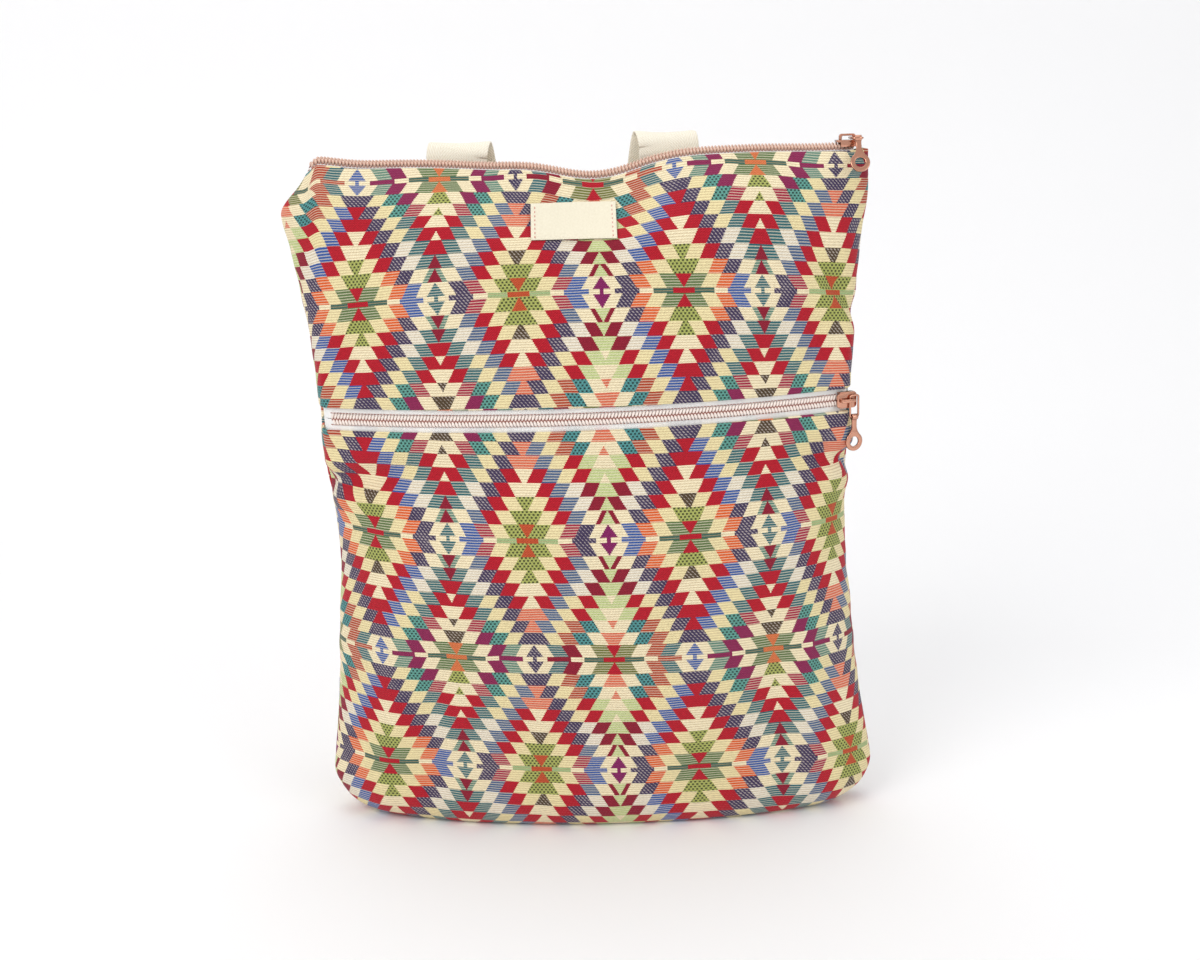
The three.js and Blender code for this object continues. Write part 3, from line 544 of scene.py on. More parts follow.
# Yarn of one ring round an X in a row, 1 to 9, counted away from the X's own bar. The X is of kind
# a or b, the diamond next to it teal or purple, and every second band of the cloth swaps some yarns.
def ringYarn(row, ring, xKind, diamond, swapped):
    rightOfX = (xKind == "a") == (diamond == "purple")
    navySide = rightOfX != swapped
    if ring == 0:
        if row == 1 and xKind == "b":
            return "sageStripe"
        return "brown" if row == 3 and (xKind == "a") != swapped else "greenDots"
    if ring == 1:
        return "paleYellow" if row < 4 else "cream"
    if ring == 2:
        if xKind == "a":
            return "pinkStripe" if row == 1 else ("salmonStripe" if row > 5 else "crimson")
        return "orangeStripe" if row < 3 else "crimson"
    if ring == 3:
        if row > 7:
            return "navy"
        if row == 1:
            return "blueStripe" if navySide else "navy"
        if row == 2:
            return "greyBlue" if xKind == "a" else "navy"
        return "navy" if navySide else ("greyBlue" if xKind == "a" else "blueStripe")
    if ring == 4:
        return "cream" if row < 3 else ("offWhite" if row < 5 else "paleYellow")
    if ring == 5:
        if diamond == "teal":
            return "mintDots" if row > 6 else ("mintStripe" if row == 2 else "tealStripe")
        return "rustStripe" if row > 6 else ("crimson" if row > 4 else "darkRed")
    if ring == 6:
        if diamond == "teal":
            return "plum" if row > 7 else ("pinkStripe" if row > 6 else "crimson")
        return "tealDots" if row > 6 else "paleGreen"
    if ring == 7:
        return "cream"
    if diamond == "teal":
        return "brown" if swapped else "greenDots"
    return "salmonStripe"


# Yarns next to the bar between two bands, outwards from the diamond's column, and of the two bars
def bandYarns(xKind, diamond, swapped):
    arrow = "plum" if diamond == "teal" else ("rustStripe" if xKind == "b" else "darkRed")
    own = "tealStripe" if diamond == "teal" else "magenta"
    far = "navy" if xKind == "a" else "blueStripe"
    wing = "sageStripe" if diamond == "teal" else "olive"
    rightOfX = (xKind == "a") == (diamond == "purple")
    notch = "blueStripe" if rightOfX != swapped else "navy"
    last = [wing, "cream", arrow, "mintStripe" if diamond == "teal" else "tealStripe", "cream", far]
    lowBar = ["redOrange" if xKind == "a" else "crimson", "lightGreen" if xKind == "a" else "deepTeal",
              "cream", notch, "cream", own]
    highBar = ["orange" if diamond == "teal" else "crimson", "deepTeal", "cream", arrow, "cream", far]
    return last, lowBar, highBar


# Sizes of the woven pattern in millimetres, and where the bars between two bands change their yarn, in cells
pattern = {
    "halfPeriod": 45.2, "cellsAcross": 5.5, "rowHeight": 7.7, "bar": 2.9, "pick": 1.1,
    "barCuts": (0.73, 2.07, 3.0, 4.65, 5.37), "ribPitch": 1.5, "dotUp": 1.6, "dotAcross": 2.3,
}
quarters = [("b", "teal"), ("a", "teal"), ("a", "purple"), ("b", "purple")]


def buildTapestry():
    floats = [(label, "NodeSocketFloat", 0.0) for label in ("Column", "Row", "Row Slope")]
    tree, net, given, out = shaderGroup("tapestryPattern", floats)
    clothX, clothY = net.clothPlace(given["Cloth"])
    wobble = net.noise(given["Cloth"], 90, 1) - 0.5
    across = clothX + wobble * 1.1
    upRaw = clothY + (net.noise(given["Cloth"], 63, 1) - 0.5) * 0.9
    up = upRaw + across * given["Row Slope"] - given["Row"]
    cells, rowHeight, bar, pick = (pattern[key] for key in ("cellsAcross", "rowHeight", "bar", "pick"))
    bandHalf = 9 * rowHeight + bar
    column = (across - given["Column"]) / pattern["halfPeriod"] % 4.0
    dx = net.sum("PINGPONG", column, 1.0) * cells
    ddx = cells - dx
    distance = net.sum("PINGPONG", up, bandHalf)
    stepped = (net.floor(distance / pick) + 0.5) * pick
    rows = (distance - bar / 2) / rowHeight
    row = net.floor(rows) + 1.0
    share = net.within((stepped - bar / 2) / rowHeight - (row - 1.0), 0.0, 1.0)
    ring = net.most(net.floor(dx + (row - 1.0) * 0.5 - (share - 0.5) * 0.5 - 0.4), 0.0)
    swapped = net.floor(up / (2 * bandHalf) + 0.5) % 2.0
    isLowBar, isHighBar = rows < 0.0, rows > 9.0

    # Place in the ring ramps: four rows of seven rings each
    first = net.most(net.floor((row - 1.99) / 2.0), 0.0)
    ringPlace = ((row - 1.0) % 4.0 * 7.0 + net.within(ring - first, 0.0, 6.0) + 0.5) / 28.0
    # Place in the band ramps: the last row and the two bars, of six yarns each
    lastIndex = net.within(net.floor(ddx - (0.5 - share) * 0.5 - 0.4), 0.0, 5.0)
    barCut = net.mix(isHighBar, dx, ddx)
    barIndex = sum((barCut > cut for cut in pattern["barCuts"]), 0.0)
    bandIndex = net.mix(net.most(isLowBar, isHighBar), lastIndex, barIndex) + isLowBar * 6.0 + isHighBar * 12.0
    bandPlace = (bandIndex + 0.5) / 18.0
    isBand = net.most(row > 8.5, isLowBar)

    def either(mask, a, b):
        return net.mixColour(mask, a[0], b[0]), net.mix(mask, a[1], b[1])

    yarn = None
    for number, (xKind, diamond) in enumerate(quarters):
        versions = []
        for swap in (False, True):
            halves = []
            for firstRow in (1, 5):
                names = [ringYarn(r, i + max(0, r // 2 - 1), xKind, diamond, swap)
                         for r in range(firstRow, firstRow + 4) for i in range(7)]
                halves.append(net.yarnRamp(ringPlace, names))
            names = [name for part in bandYarns(xKind, diamond, swap) for name in part]
            versions.append(either(isBand, either(row > 4.5, *halves), net.yarnRamp(bandPlace, names)))
        both = either(swapped, *versions)
        yarn = either(net.floor(column) > number - 0.5, yarn, both) if yarn else both

    # Small triangles on the columns
    def inRows(*wanted):
        return sum((net.near(row, float(one)) for one in wanted), 0.0) * (1.0 - isLowBar)

    away = 1.0 - share
    nearest = net.sum("ROUND", column)
    on = {"teal": net.near(nearest, 1.0), "purple": net.near(nearest, 3.0), "a": net.near(nearest, 2.0)}
    on["b"] = 1.0 - net.most(net.most(on["teal"], on["purple"]), on["a"])
    belowBar = (up + bandHalf) % (2 * bandHalf) < bandHalf
    lastRow = inRows(9) * (1.0 - isHighBar)
    triangles = [
        (inRows(1) * (dx < share * 0.55), {"a": "redOrange", "b": "crimson"}),
        (inRows(1) * (ddx < away * 0.6), {"teal": "tealStripe", "purple": "magenta"}),
        (inRows(2, 3) * (ddx < away * 0.5), {"teal": "darkRed", "purple": "paleGreen"}),
        (inRows(7, 8) * (ring > 7.5) * belowBar, {"teal": "brown"}),
        (lastRow * (ddx < away * 0.55), {"teal": "orange", "purple": "crimson"}),
        (lastRow * (dx < share * 0.6), {"a": "navy", "b": "blueStripe"}),
    ]
    for mask, kinds in triangles:
        for place, name in kinds.items():
            stop = yarnStop(name)
            yarn = either(mask * on[place], yarn, (stop, stop[3]))

    # Weaves: stripes, dots, specks and twill of a second thread, and a fine rib over everything
    def waveOf(acrossPitch, upPitch):
        return net.sine(across * (2 * math.pi / acrossPitch) + upRaw * (2 * math.pi / upPitch))

    colour, weave = yarn
    ribs = net.sine((upRaw + across * 0.02) * (2 * math.pi / pattern["ribPitch"]))
    dotRow = upRaw / pattern["dotUp"]
    dotPlace = net.sum("FRACT", across / pattern["dotAcross"] + net.floor(dotRow) % 2.0 * 0.5)
    dot = (net.sum("ABSOLUTE", dotPlace - 0.5) < 0.25) * (net.sum("ABSOLUTE", net.sum("FRACT", dotRow) - 0.5) < 0.33)
    speck = (waveOf(2.2, 2.6) + wobble * 2.0 > 0.35) * (ribs > -0.5)
    threads = [
        (1, (ribs > 0.3) * 0.68, net.mixColour(0.78, colour, linear((228, 218, 194)))),
        (2, dot * 0.85, linear((26, 26, 24))),
        (3, speck * 0.8, net.mixColour(0.6, colour, linear((226, 214, 204)))),
        (4, (waveOf(1.5, -1.25) > 0.45) * 0.3, linear((96, 12, 30))),
        (0, (ribs < -0.5) * 0.5, linear((204, 176, 132))),
    ]
    for kind, amount, thread in threads:
        colour = net.mixColour(net.near(weave, kind / 4) * amount, colour, thread)
    twill = waveOf(1.9, -1.1)
    grain = (net.noise(given["Cloth"], 620, 2) - 0.5) * 0.32
    shaded = net.node("ShaderNodeVectorMath", operation="SCALE")
    net.plug(shaded.inputs[0], colour)
    net.plug(shaded.inputs["Scale"], twill * 0.03 + ribs * 0.05 + grain + 0.97)
    net.plug(out["Color"], shaded.outputs[0])
    net.plug(out["Height"], ribs * 0.5 + twill * 0.5)
    return tree


# Plain woven cloth: a fine twill of one colour, with painted shade and highlight on its ribs and a tone that differs at
# random
def buildTwill():
    tree, net, given, out = shaderGroup("plainTwill", [
        ("Thread", "NodeSocketFloat", 1.0), ("Light", "NodeSocketColor", (1, 1, 1, 1)),
        ("Deep And Shaded", "NodeSocketColor", (0.5, 0.5, 0.5, 1))])
    across, up = [place / given["Thread"] for place in net.clothPlace(given["Cloth"])]
    rib = net.sine((net.sum("PINGPONG", across, 6.0) + up) * (2 * math.pi))
    height = rib * 0.7 + net.sine(across * (2 * math.pi)) * 0.3
    # Share between the pale and the deep colour: random noise plus painted shade and highlight from the ribs' height
    share = net.within(height * 0.28 + net.noise(given["Cloth"], 900, 2) * 0.6 + 0.2, 0.0, 1.0)
    net.plug(out["Color"], net.mixColour(share, given["Deep And Shaded"], given["Light"]))
    net.plug(out["Height"], height)
    return tree


def newMaterial(name):
    made = bpy.data.materials.new(name)
    made.use_nodes = True
    return made, Net(made.node_tree), made.node_tree.nodes["Principled BSDF"]


def clothMaterial(name, tree, given, look, strength, distance):
    made, net, shader = newMaterial(name)
    group = net.node("ShaderNodeGroup", node_tree=tree)
    net.plug(group.inputs["Cloth"], net.node("ShaderNodeUVMap", uv_map="cloth").outputs[0])
    setInputs(group, given)
    net.plug(shader.inputs["Base Color"], group.outputs["Color"])
    setInputs(shader, {"Specular IOR Level": 0.25, **look})
    relief = net.node("ShaderNodeBump")
    setInputs(relief, {"Strength": strength, "Distance": distance})
    net.plug(relief.inputs["Height"], group.outputs["Height"])
    net.plug(shader.inputs["Normal"], relief.outputs[0])
    return made


tapestryTree, twillTree = buildTapestry(), buildTwill()


def tapestryMaterial(name, column, row, slope):
    return clothMaterial(name, tapestryTree, {"Column": column, "Row": row, "Row Slope": slope},
                         {"Roughness": 0.88, "Sheen Weight": 0.12, "Sheen Roughness": 0.5}, 0.5, 0.0004)


def twillMaterial(name, paleAndLit, deepAndShaded, thread, distance=0.00025):
    given = {"Thread": thread, "Light": (*linear(paleAndLit), 1), "Deep And Shaded": (*linear(deepAndShaded), 1)}
    return clothMaterial(name, twillTree, given, {"Roughness": 0.85, "Sheen Weight": 0.15}, 0.4, distance)


def metalMaterial(name, colour, roughness, metallic=1.0):
    made, net, shader = newMaterial(name)
    place = net.node("ShaderNodeTexCoord").outputs["Object"]
    net.plug(shader.inputs["Roughness"], net.noise(place, 900, 3) * 0.12 + roughness)
    tint = net.mixColour(net.noise(place, 180, 2) * 0.25, linear(colour), linear([c * 0.86 for c in colour]))
    # Metals only: painted dark reflection, the colour turns to a dark copper where the faces turn away from the eye
    if metallic > 0.9:
        edge = net.node("ShaderNodeLayerWeight")
        edge.inputs["Blend"].default_value = 0.45
        tint = net.mixColour(edge.outputs["Facing"], tint, linear([c * 0.42 for c in colour]))
    net.plug(shader.inputs["Base Color"], tint)
    shader.inputs["Metallic"].default_value = metallic
    return made


upperCloth = tapestryMaterial("tapestryUpper", 55.0, 330.2, 0.027)
lowerCloth = tapestryMaterial("tapestryLower", 51.8, 47.5, 0.022)
backCloth = tapestryMaterial("tapestryBack", 20.0, 44.9, 0.0)
liningCloth = twillMaterial("lining", (222, 212, 186), (190, 178, 148), 0.8)
tapeCloth = twillMaterial("zipTape", (255, 255, 255), (252, 250, 246), 0.55)
webbingCloth = twillMaterial("webbing", (255, 251, 238), (230, 220, 198), 1.5, 0.0003)
labelCloth = twillMaterial("labelCotton", (250, 244, 224), (230, 220, 194), 0.7)
roseMetal = metalMaterial("roseMetal", (232, 170, 144), 0.14)
coilPlastic = metalMaterial("coil", (252, 238, 230), 0.4, 0.1)
coilWarm = metalMaterial("coilWarm", (226, 192, 174), 0.36, 0.2)
coilShade = metalMaterial("coilShade", (176, 122, 112), 0.5, 0.1)
threadPink = metalMaterial("labelThread", (214, 150, 140), 0.7, 0.0)
threadCream = metalMaterial("seamThread", (232, 222, 198), 0.7, 0.0)
print("materials made")


def finishPiece(piece, body, slot, *nodes):
    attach(piece, body)
    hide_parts(*nodes)
    return piece


# Cloth panels
zipShow, panelStep = 6.3, 1.9
aboveZip, belowZip = bag["pocketZip"] + zipShow, bag["pocketZip"] - zipShow
upperPanel = clothPanel("front_cloth_upper", front, bag["top"], aboveZip, upperCloth, panelStep, pullUpper)
finishPiece(upperPanel, "bag", "tapestry", "front_upper_panel")
lowerPanel = clothPanel("front_cloth_lower", front, belowZip, 0, lowerCloth, panelStep, pullLower)
finishPiece(lowerPanel, "bag", "tapestry", "front_lower_panel")
backPanel = clothPanel("back_cloth", back, bag["top"], 0, backCloth, panelStep + 0.4)
finishPiece(backPanel, "bag", "tapestry", "back_panel")
print("panels made")


# Sheet between the pocket and the main compartment
divider = {"above": 14, "foot": 2.5, "thick": 0.8, "belly": 14, "bellyFade": 45, "lowRun": 25}


def dividerPanel():
    top, thick = bag["pocketZip"] + divider["above"], divider["thick"]
    across = np.linspace(0, 1, 90)
    middle = np.sqrt(np.sin(math.pi * across))
    outer, inner, flatAt = [], [], []
    for height in np.linspace(top, bag["cornerHeight"], 70):
        run = height - bag["cornerHeight"]
        at, along = skinRow(front, across, run)
        normal = skinNormals(front, across, run)
        belly = divider["belly"] * smoothstep(top - height, 0, divider["bellyFade"])
        inset = behindCloth + thick + bag["gap"] + belly * middle
        outer.append(at - normal * inset[:, None])
        inner.append(at - normal * (inset + thick)[:, None])
        flatAt.append(flatRow(along, height))
    shrink = np.array([1 - bag["tuckAcross"] / bag["left"][0], 1 - bag["tuckDeep"] / bag["depth"][0], 1.0])
    lowShares = (0.33, 0.66, 1.0)
    for rows in (outer, inner):
        last = rows[-1]
        low = last * shrink
        low[:, 2] = divider["foot"]
        rows += [last * (1 - share) + low * share for share in lowShares]
    last = flatAt[-1]
    flatAt += [last - np.array([0, divider["lowRun"] * share]) for share in lowShares]
    return sheetObject("pocket_lining", outer, inner, liningCloth, flatAt)


lining = finishPiece(dividerPanel(), "bag", "lining", "pocket_divider")


# Zips. Places along, across and out of each zip, as points of the bag
zipTurn = math.atan(bag["zipClimb"])
zipStand = 2.8
pocketCentre = -bag["lean"] * bag["pocketZip"]
pocketZipFrame = {
    "centre": np.array([pocketCentre, zipArcRadius - sizeAt(bag["pocketZip"], "depth") - bag["gap"] / 2,
                        bag["pocketZip"] + bag["zipClimb"] * pocketCentre]),
    "radius": zipArcRadius - behindCloth,
}


def turnWithZip(x, y, z):
    c, s = math.cos(zipTurn), math.sin(zipTurn)
    return np.stack([x * c - z * s, y + 0 * x, x * s + z * c], -1)


def onPocketZip(along, across, out):
    along, across, out = np.broadcast_arrays(*[np.asarray(v, float) for v in (along, across, out)])
    turn = along / pocketZipFrame["radius"]
    radius = pocketZipFrame["radius"] + out
    return turnWithZip(radius * np.sin(turn), -radius * np.cos(turn), across) + pocketZipFrame["centre"]


def onTopZip(along, across, out):
    along, across, out = np.broadcast_arrays(*[np.asarray(v, float) for v in (along, across, out)])
    drop = 1.7 * smoothstep(-across, -0.5, 3.2)
    at = turnWithZip(along, across, out - drop) + (0, 0, bag["top"] + zipStand)
    at[..., 2] += topSag(at[..., 0], bag["top"])
    return at


tape = {"thick": 0.8, "topStart": 1, "topEnd": 9, "stand": 6.5 - bag["cloth"] - 0.45}
coil = {
    "topStart": 1.5, "topEnd": 9.5, "pitch": 1.9, "offMiddle": 1.7, "toothStand": 1.05, "tooth": (3.5, 1.55),
    "slant": 0.42, "shadeCoreHalf": 0.9, "shadeCore": (0.75, 0.3), "sewnShadowAt": 3.35, "sewnShadowStand": 0.35, "shadowStitch": (1.7, 0.5, 0.5),
}


def pocketTape(name, sideUp, node):
    across = np.linspace(0, 1, 150)
    outer, inner, flatAt = [], [], []
    for away in (0.2, 0.5, 2.4, 3.6, 5.2, 6.4, 9.0, 14.0):
        run = bag["pocketZip"] + sideUp * away - bag["cornerHeight"]
        at, along = skinRow(front, across, run)
        normal = skinNormals(front, across, run)
        wave = 0.22 * np.sin(along / 9 + sideUp) * smoothstep(away, 3, 6)
        outer.append(at - normal * (behindCloth - wave)[:, None])
        inner.append(at - normal * (behindCloth + tape["thick"] - wave)[:, None])
        flatAt.append(flatRow(along, away))
    piece = sheetObject(name, outer, inner, tapeCloth, flatAt)
    return finishPiece(piece, "bag", "zip_tape", node)


def topTape(name, side, node):
    along = np.linspace(topLeftEnd + tape["topStart"], topRightEnd - tape["topEnd"], 150)
    stand, low = tape["stand"], tape["stand"] - tape["thick"]
    profile = [(0.2, 0), (1.4, 0), (2.8, 0), (3.6, -0.25), (stand, -1.0), (stand, -3.0), (stand, -6.0), (stand, -8.8)]
    under = [(0.2, -0.8), (1.3, -0.8), (2.5, -0.8), (2.95, -0.95), (low, -1.5), (low, -3.0), (low, -6.0), (low, -8.8)]
    outer, inner = [[onTopZip(along, side * a, z) for a, z in places] for places in (profile, under)]
    flatAt = [flatRow(along, i * 1.5) for i in range(len(profile))]
    return finishPiece(sheetObject(name, outer, inner, tapeCloth, flatAt), "bag", "zip_tape", node)


pocketTape("pocket_tape_above", 1, "pocket_tape_upper")
pocketTape("pocket_tape_below", -1, "pocket_tape_lower")
topTape("top_tape_near", front, "top_tape_front")
topTape("top_tape_far", back, "top_tape_back")


# Small rounded beads on given points and turns: coil teeth and stitches
def buildBeads():
    tree = bpy.data.node_groups.new("beadsOnPoints", "GeometryNodeTree")
    for name, kind in (("Geometry", "Geometry"), ("Bead Size", "Vector"), ("Material", "Material")):
        tree.interface.new_socket(name, in_out="INPUT", socket_type="NodeSocket" + kind)
    tree.interface.new_socket("Geometry", in_out="OUTPUT", socket_type="NodeSocketGeometry")
    net = Net(tree)
    given = net.node("NodeGroupInput").outputs
    ball = net.node("GeometryNodeMeshUVSphere")
    setInputs(ball, {"Segments": 10, "Rings": 6, "Radius": 0.5})
    place = net.node("GeometryNodeInstanceOnPoints")
    turn = net.node("GeometryNodeInputNamedAttribute", data_type="QUATERNION")
    turn.inputs["Name"].default_value = "turn"
    net.plug(place.inputs["Points"], given["Geometry"])
    net.plug(place.inputs["Instance"], ball.outputs["Mesh"])
    rotation = [socket for socket in turn.outputs if socket.enabled and socket.name == "Attribute"][0]
    net.plug(place.inputs["Rotation"], rotation)
    net.plug(place.inputs["Scale"], given["Bead Size"])
    real = net.node("GeometryNodeRealizeInstances")
    net.plug(real.inputs[0], place.outputs[0])
    painted = net.node("GeometryNodeSetMaterial")
    net.plug(painted.inputs["Geometry"], real.outputs[0])
    net.plug(painted.inputs["Material"], given["Material"])
    net.plug(net.node("NodeGroupOutput").inputs[0], painted.outputs[0])
    return tree


beadTree = buildBeads()


def socketId(tree, name):
    return next(item.identifier for item in tree.interface.items_tree
                if item.item_type == "SOCKET" and item.in_out == "INPUT" and item.name == name)


# places: points in millimetres; longs and outs: the bead's own long and outward directions there
def beads(name, places, longs, outs, size, material):
    mesh = bpy.data.meshes.new(name + "_points")
    mesh.from_pydata((np.asarray(places) * mm).tolist(), [], [])
    turns = mesh.attributes.new("turn", "QUATERNION", "POINT")
    values = []
    for long, out in zip(longs, outs):
        x = Vector(long).normalized()
        z = (Vector(out) - x * Vector(out).dot(x)).normalized()
        values += list(Matrix((x, z.cross(x), z)).transposed().to_quaternion())
    turns.data.foreach_set("value", values)
    carrier = addObject(name, mesh)
    made = carrier.modifiers.new("beads", "NODES")
    made.node_group = beadTree
    made[socketId(beadTree, "Bead Size")] = [s * mm for s in size]
    made[socketId(beadTree, "Material")] = material
    bpy.context.view_layer.update()
    baked = bpy.data.meshes.new_from_object(carrier.evaluated_get(bpy.context.evaluated_depsgraph_get()))
    carrier.modifiers.clear()
    carrier.data = baked
    baked.name = name
    smoothFaces(baked)
    return carrier


def joinInto(target, *others):
    with bpy.context.temp_override(active_object=target, object=target, selected_objects=[target, *others],
                                   selected_editable_objects=[target, *others]):
        bpy.ops.object.join()
    return target


# A point of a zip, and the ways ahead, sideways and out from it
def zipFrame(place, along, across, out):
    at, step = place(along, across, out), 0.5
    ahead = place(along + step, across, out) - at
    sideways = place(along, across + step, out) - at
    return at, ahead, sideways, place(along, across, out + step) - at


def zipChain(name, place, low, high, node, toothHeight, material):
    count = int((high - low) / coil["pitch"])
    base = low + coil["pitch"] * (np.arange(count) + 0.5)
    places, longs, outs = [], [], []
    for shift, side in ((0, 1), (0.5, -1)):
        line = base + shift * coil["pitch"]
        at, ahead, sideways, up = zipFrame(place, line, side * coil["offMiddle"], coil["toothStand"])
        places += at.tolist()
        longs += (ahead * coil["slant"] + sideways * side).tolist()
        outs += up.tolist()
    teeth = beads(name, places, longs, outs, (*coil["tooth"], toothHeight), material)
    # Core: a thin sheet in the painted-shade colour between the two rows of teeth, painted shade of the gap between
    # them
    along, half = np.linspace(low, high, 150), coil["shadeCoreHalf"]
    outer, inner = [[place(along, a, out) for a in np.linspace(-half, half, 5)] for out in coil["shadeCore"]]
    flatAt = [flatRow(along, a) for a in range(5)]
    shadeCore = sheetObject(name + "_shade_core", outer, inner, coilShade, flatAt)
    # Stitches along both outer edges of the coil in the painted-shade colour: partly the coil's real seam, partly
    # painted shadow lines along the edges
    sewn = []
    for side in (-1, 1):
        line = np.arange(low, high, coil["pitch"])
        at, ahead, _, up = zipFrame(place, line, side * coil["sewnShadowAt"], coil["sewnShadowStand"])
        sewn.append(beads(name + "_sewn_shadow", at, ahead, up, coil["shadowStitch"], coilShade))
    joinInto(teeth, shadeCore, *sewn)
    return finishPiece(teeth, "bag", "zip_coil", node)


chainHalf = pocketZipFrame["radius"] * math.asin(zipArcHalf / zipArcRadius) - 1
chainLow, chainHigh = topLeftEnd + coil["topStart"], topRightEnd - coil["topEnd"]
zipChain("pocket_coil", onPocketZip, -chainHalf, chainHalf, "pocket_chain", 1.9, coilPlastic)
zipChain("top_coil", onTopZip, chainLow, chainHigh, "top_chain", 2.9, coilWarm)
print("zips made")


# Metal: plates with rounded edges, wire loops
def circle(radius, count, middle=0.0):
    turns = np.linspace(0, 2 * math.pi, count, endpoint=False)
    return [(radius * math.cos(a), middle + radius * math.sin(a)) for a in turns]


def plate(outer, holes, low, high, bevel, segments=2):
    worker = bmesh.new()
    for loop in [outer, *holes]:
        corners = [worker.verts.new((x, y, low)) for x, y in loop]
        for i, corner in enumerate(corners):
            worker.edges.new((corner, corners[(i + 1) % len(corners)]))
    bmesh.ops.triangle_fill(worker, use_beauty=True, use_dissolve=False, edges=worker.edges[:])
    grown = bmesh.ops.extrude_face_region(worker, geom=worker.faces[:])["geom"]
    raised = [part for part in grown if isinstance(part, bmesh.types.BMVert)]
    bmesh.ops.translate(worker, vec=(0, 0, high - low), verts=raised)
    bmesh.ops.recalc_face_normals(worker, faces=worker.faces)
    sharp = [e for e in worker.edges if len(e.link_faces) == 2 and e.calc_face_angle(0) > 0.9
             and abs(e.verts[0].co.z - e.verts[1].co.z) < 1e-6]
    bmesh.ops.bevel(worker, geom=sharp, offset=bevel, segments=segments, profile=0.5, affect="EDGES",
                    clamp_overlap=True)
    return worker


def wireLoop(points, radius, sides=10):
    worker = bmesh.new()
    count, upward = len(points), Vector((0, 0, 1))
    rings = []
    for i, point in enumerate(points):
        ahead = (Vector(points[(i + 1) % count]) - Vector(points[i - 1])).normalized()
        across = upward.cross(ahead).normalized()
        rings.append([worker.verts.new(Vector(point) + across * x + upward * y) for x, y in circle(radius, sides)])
    for ring, after in zip(rings, rings[1:] + rings[:1]):
        for k in range(sides):
            worker.faces.new((ring[k], ring[(k + 1) % sides], after[(k + 1) % sides], after[k]))
    bmesh.ops.recalc_face_normals(worker, faces=worker.faces)
    return worker


def tube(start, end, radius, bore, sides=24, bevel=0.2):
    way = Vector(end) - Vector(start)
    worker = plate(circle(radius, sides), [circle(bore, sides)], 0, way.length, bevel)
    worker.transform(Matrix.Translation(start) @ way.to_track_quat("Z", "Y").to_matrix().to_4x4())
    return worker


def metalPiece(name, workers, matrix, body, node):
    whole = bpy.data.meshes.new(name)
    joined = bmesh.new()
    for worker in workers:
        part = bpy.data.meshes.new("part")
        worker.to_mesh(part)
        worker.free()
        joined.from_mesh(part)
        bpy.data.meshes.remove(part)
    joined.transform(Matrix.Scale(mm, 4) @ matrix)
    joined.to_mesh(whole)
    joined.free()
    whole.materials.append(roseMetal)
    smoothFaces(whole)
    whole.set_sharp_from_angle(angle=math.radians(50))
    return finishPiece(addObject(name, whole), body, "rose_metal", node)


def roundedBox(width, height, corner, steps=5):
    points = []
    for cx, cy, start in ((1, 1, 0), (-1, 1, 90), (-1, -1, 180), (1, -1, 270)):
        for a in np.linspace(start, start + 90, steps):
            r = math.radians(a)
            points.append((cx * (width / 2 - corner) + corner * math.cos(r),
                           cy * (height / 2 - corner) + corner * math.sin(r)))
    return points


slider = {"length": 13, "half": 4.7, "nose": 3.8, "plate": 1.2, "foot": 8, "footLength": 1.6, "arch": 2,
          "hole": 2.2, "crown": 1.2, "overChain": 2.2, "parked": 12}
plateBottom = bag["gap"] + slider["overChain"] + bag["gap"]
plateTop = plateBottom + slider["plate"]
link = {"wire": 1.2, "inner": 4.3, "long": 11.3, "behind": 2, "shift": 0.1}
linkHeight = plateTop + slider["hole"] / 2
linkBar = link["long"] - link["behind"] + link["wire"] / 2


def sliderShapes():
    half, nose, end = slider["half"], slider["nose"], slider["length"] / 2
    outline = [(-end, -nose + 0.8), (-end + 0.3, -nose + 0.3), (-end + 0.8, -nose), (-end / 2, -nose - 0.25),
               (0, -half), (end - 2, -half), (end - 1, -half + 0.4), (end - 0.4, -half + 1), (end, -half + 2)]
    outline += [(x, -y) for x, y in reversed(outline)]
    shapes = [plate(outline, [], plateBottom, plateTop, 0.4, 3)]
    for side in (-1, 1):
        flange = plate(roundedBox(10, 1.1, 0.5), [], 0.3, plateTop - 0.6, 0.15)
        flange.transform(Matrix.Translation((0.5, side * (half - 0.55), 0)))
        shapes.append(flange)
    reach = slider["foot"] / 2 + slider["footLength"] / 2
    inner = reach - slider["footLength"]
    low, crownLow = plateTop - 0.6, plateTop + slider["hole"]
    crownTop = crownLow + slider["crown"]
    right = [(inner - 0.5, crownLow), (inner, crownLow - 0.6), (inner, low), (reach, low),
             (reach, crownTop - 1.4), (reach - 0.45, crownTop - 0.4), (reach - 1.4, crownTop)]
    left = [(-x, y) for x, y in reversed(right)]
    bridge = left[3:] + right + left[:3]
    arch = plate(bridge, [], -slider["arch"] / 2, slider["arch"] / 2, 0.3, 3)
    arch.transform(Matrix(((1, 0, 0, 0), (0, 0, -1, 0), (0, 1, 0, 0), (0, 0, 0, 1))))
    return shapes + [arch]


def linkShapes():
    middle = link["behind"] - link["long"] / 2
    loop = roundedBox(link["inner"] + link["wire"], link["long"] + link["wire"], 1.2, 6)
    return [wireLoop([(x + link["shift"], y + middle, 0) for x, y in loop], link["wire"] / 2)]


